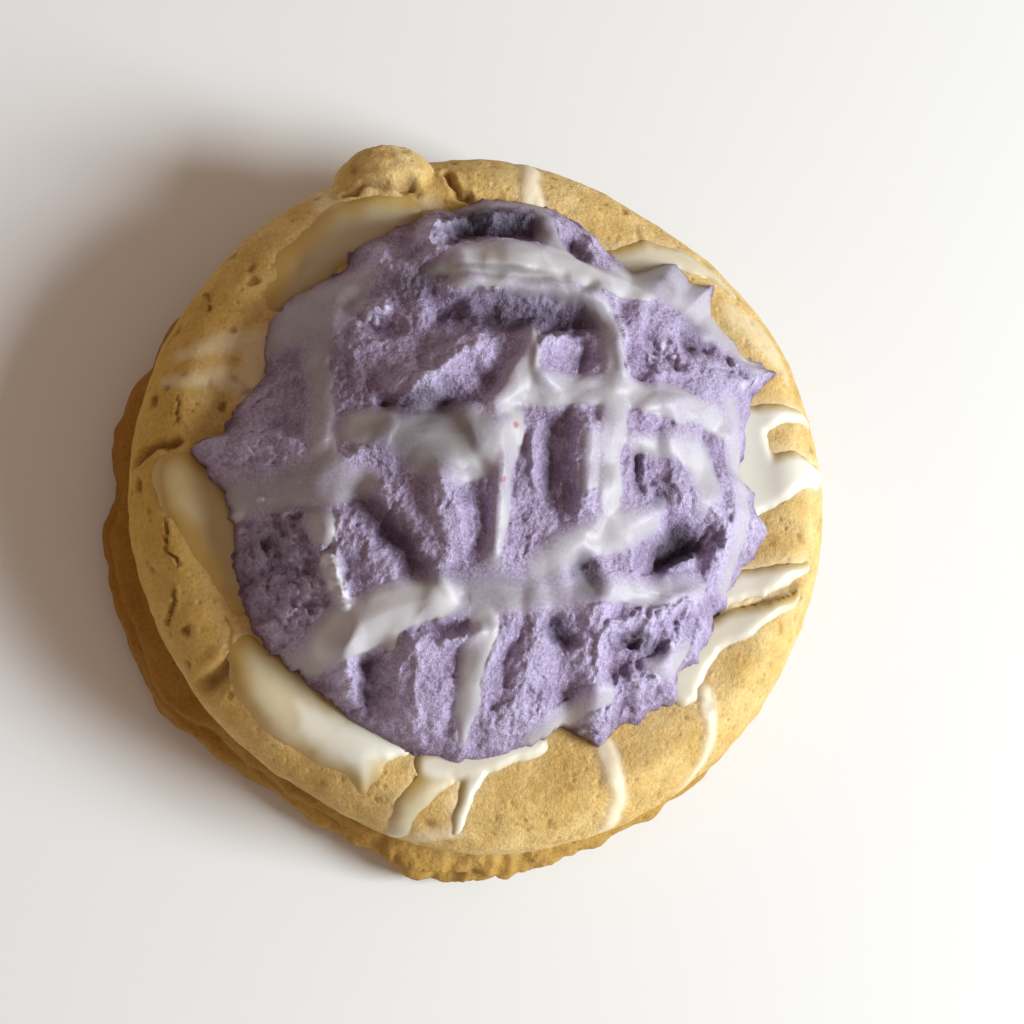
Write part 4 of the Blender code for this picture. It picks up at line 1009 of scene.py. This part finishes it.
def glaze_shell(name, base_lift, thickness, milk):
    """A closed skin of glaze over the laid-out top, with its root sunk in what it lies on."""
    slope = np.minimum(np.hypot(*np.gradient(base_lift, FIELD_STEP)), 2.0)
    upper = base_lift + thickness * np.sqrt(1 + slope**2)
    radius, angle = np.hypot(field_u, field_v), np.arctan2(field_v, field_u)
    kept = (thickness > -0.25) & (radius < flat_radius(angle) + 1.9 * RIM_ROUNDING)
    index = np.full(kept.shape, -1)
    index[kept] = np.arange(kept.sum())
    corners = [index[:-1, :-1], index[1:, :-1], index[1:, 1:], index[:-1, 1:]]
    whole = np.all([corner >= 0 for corner in corners], axis=0)
    quads = np.stack([corner[whole] for corner in corners], 1)
    used, quads = np.unique(quads, return_inverse=True)
    quads = quads.reshape(-1, 4)
    u, v = field_u[kept][used], field_v[kept][used]
    top = rolled_up(u, v, upper[kept][used])
    root = rolled_up(u, v, base_lift[kept][used] - GLAZE_ROOT)
    edges = np.concatenate([quads[:, [0, 1]], quads[:, [1, 2]], quads[:, [2, 3]], quads[:, [3, 0]]])
    _, first, count = np.unique(np.sort(edges, axis=1), axis=0, return_index=True, return_counts=True)
    border = edges[first[count == 1]]
    under = len(top)
    faces = quads.tolist() + (quads[:, ::-1] + under).tolist()
    faces += np.stack([border[:, 1], border[:, 0], border[:, 0] + under, border[:, 1] + under], 1).tolist()
    made = mesh_object(name, np.concatenate([top, root]), faces)
    paint(made, "film", np.tile(np.clip(milk[kept][used], 0, 1), 2))
    return made


def glaze_material():
    """Sugar glaze: satin, milkier where it lies thick, and tinted by what is under it where thin."""
    glaze = Finish("pool_glaze")
    cloudy = glaze.mapped(glaze.clouds(260.0, 4.0), 0.0, 1.0, -0.12, 0.12)
    milk = glaze.maths("ADD", glaze.painted("film"), cloudy, use_clamp=True)
    colour = glaze.ramp(
        milk, (0.06, (0.52, 0.355, 0.10)), (0.42, (0.59, 0.51, 0.32)), (0.9, (0.73, 0.72, 0.64))
    )
    glaze.put(glaze.shader["Base Color"], colour)
    glaze.shader["Roughness"].default_value = 0.38
    glaze.body(0.3, (1.0, 0.85, 0.75), 0.0012)
    return glaze.material


crust_lift_field = crust_lift(field_u, field_v)
pools = glaze_shell("glaze_pools", crust_lift_field, pool_depth, pool_milk)
pools.data.materials.append(glaze_material())
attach(pools, "root")

# The studio: a pale floor, soft daylight from the right and a weak warm fill, seen nearly from
# above, from the cookie's lower left, as in the photograph.
CAMERA_TILT, CAMERA_TURN, CAMERA_AWAY = math.radians(15), math.radians(45), 0.320
CAMERA_TARGET = Vector((0.0035, -0.002, 0.020))
bpy.ops.object.select_all(action="DESELECT")
bpy.ops.mesh.primitive_plane_add(size=6.0, location=(0, 0, 0))
floor = bpy.context.active_object
floor.name = "floor"
floor_finish = Finish("pale_floor")
floor_finish.shader["Base Color"].default_value = (0.80, 0.83, 0.86, 1.0)
floor_finish.shader["Roughness"].default_value = 0.9
floor.data.materials.append(floor_finish.material)


def area_light(name, turn, rise, away, size, power, colour):
    """A square soft light that looks at the cookie from a turn from +X and a rise, in degrees."""
    turn, rise = math.radians(turn), math.radians(rise)
    towards = Vector((math.cos(rise) * math.cos(turn), math.cos(rise) * math.sin(turn), math.sin(rise)))
    light = bpy.data.lights.new(name, "AREA")
    light.size, light.energy, light.color = size, power, colour
    made = bpy.data.objects.new(name, light)
    made.location = CAMERA_TARGET + towards * away
    made.rotation_euler = towards.to_track_quat("Z", "Y").to_euler()
    bpy.context.scene.collection.objects.link(made)


area_light("window", -14, 34, 0.9, 0.38, 11.6, (0.93, 0.985, 1.0))
world = bpy.data.worlds.new("room")
world.use_nodes = True
world.node_tree.nodes["Background"].inputs["Color"].default_value = (1.0, 0.72, 0.54, 1.0)
world.node_tree.nodes["Background"].inputs["Strength"].default_value = 0.34
bpy.context.scene.world = world
bpy.context.scene.view_settings.view_transform = "Standard"

back = Vector((
    -math.sin(CAMERA_TILT) * math.sin(CAMERA_TURN),
    -math.sin(CAMERA_TILT) * math.cos(CAMERA_TURN),
    math.cos(CAMERA_TILT),
))
side = (-back).cross(Vector((0, 1, 0))).normalized()
camera_data = bpy.data.cameras.new("camera")
camera_data.lens = 77.0
camera_data.clip_start = 0.01
camera = bpy.data.objects.new("camera", camera_data)
bpy.context.scene.collection.objects.link(camera)
turned = Matrix((side, side.cross(-back), back)).transposed().to_4x4()
camera.matrix_world = Matrix.Translation(CAMERA_TARGET + back * CAMERA_AWAY) @ turned
bpy.context.scene.camera = camera
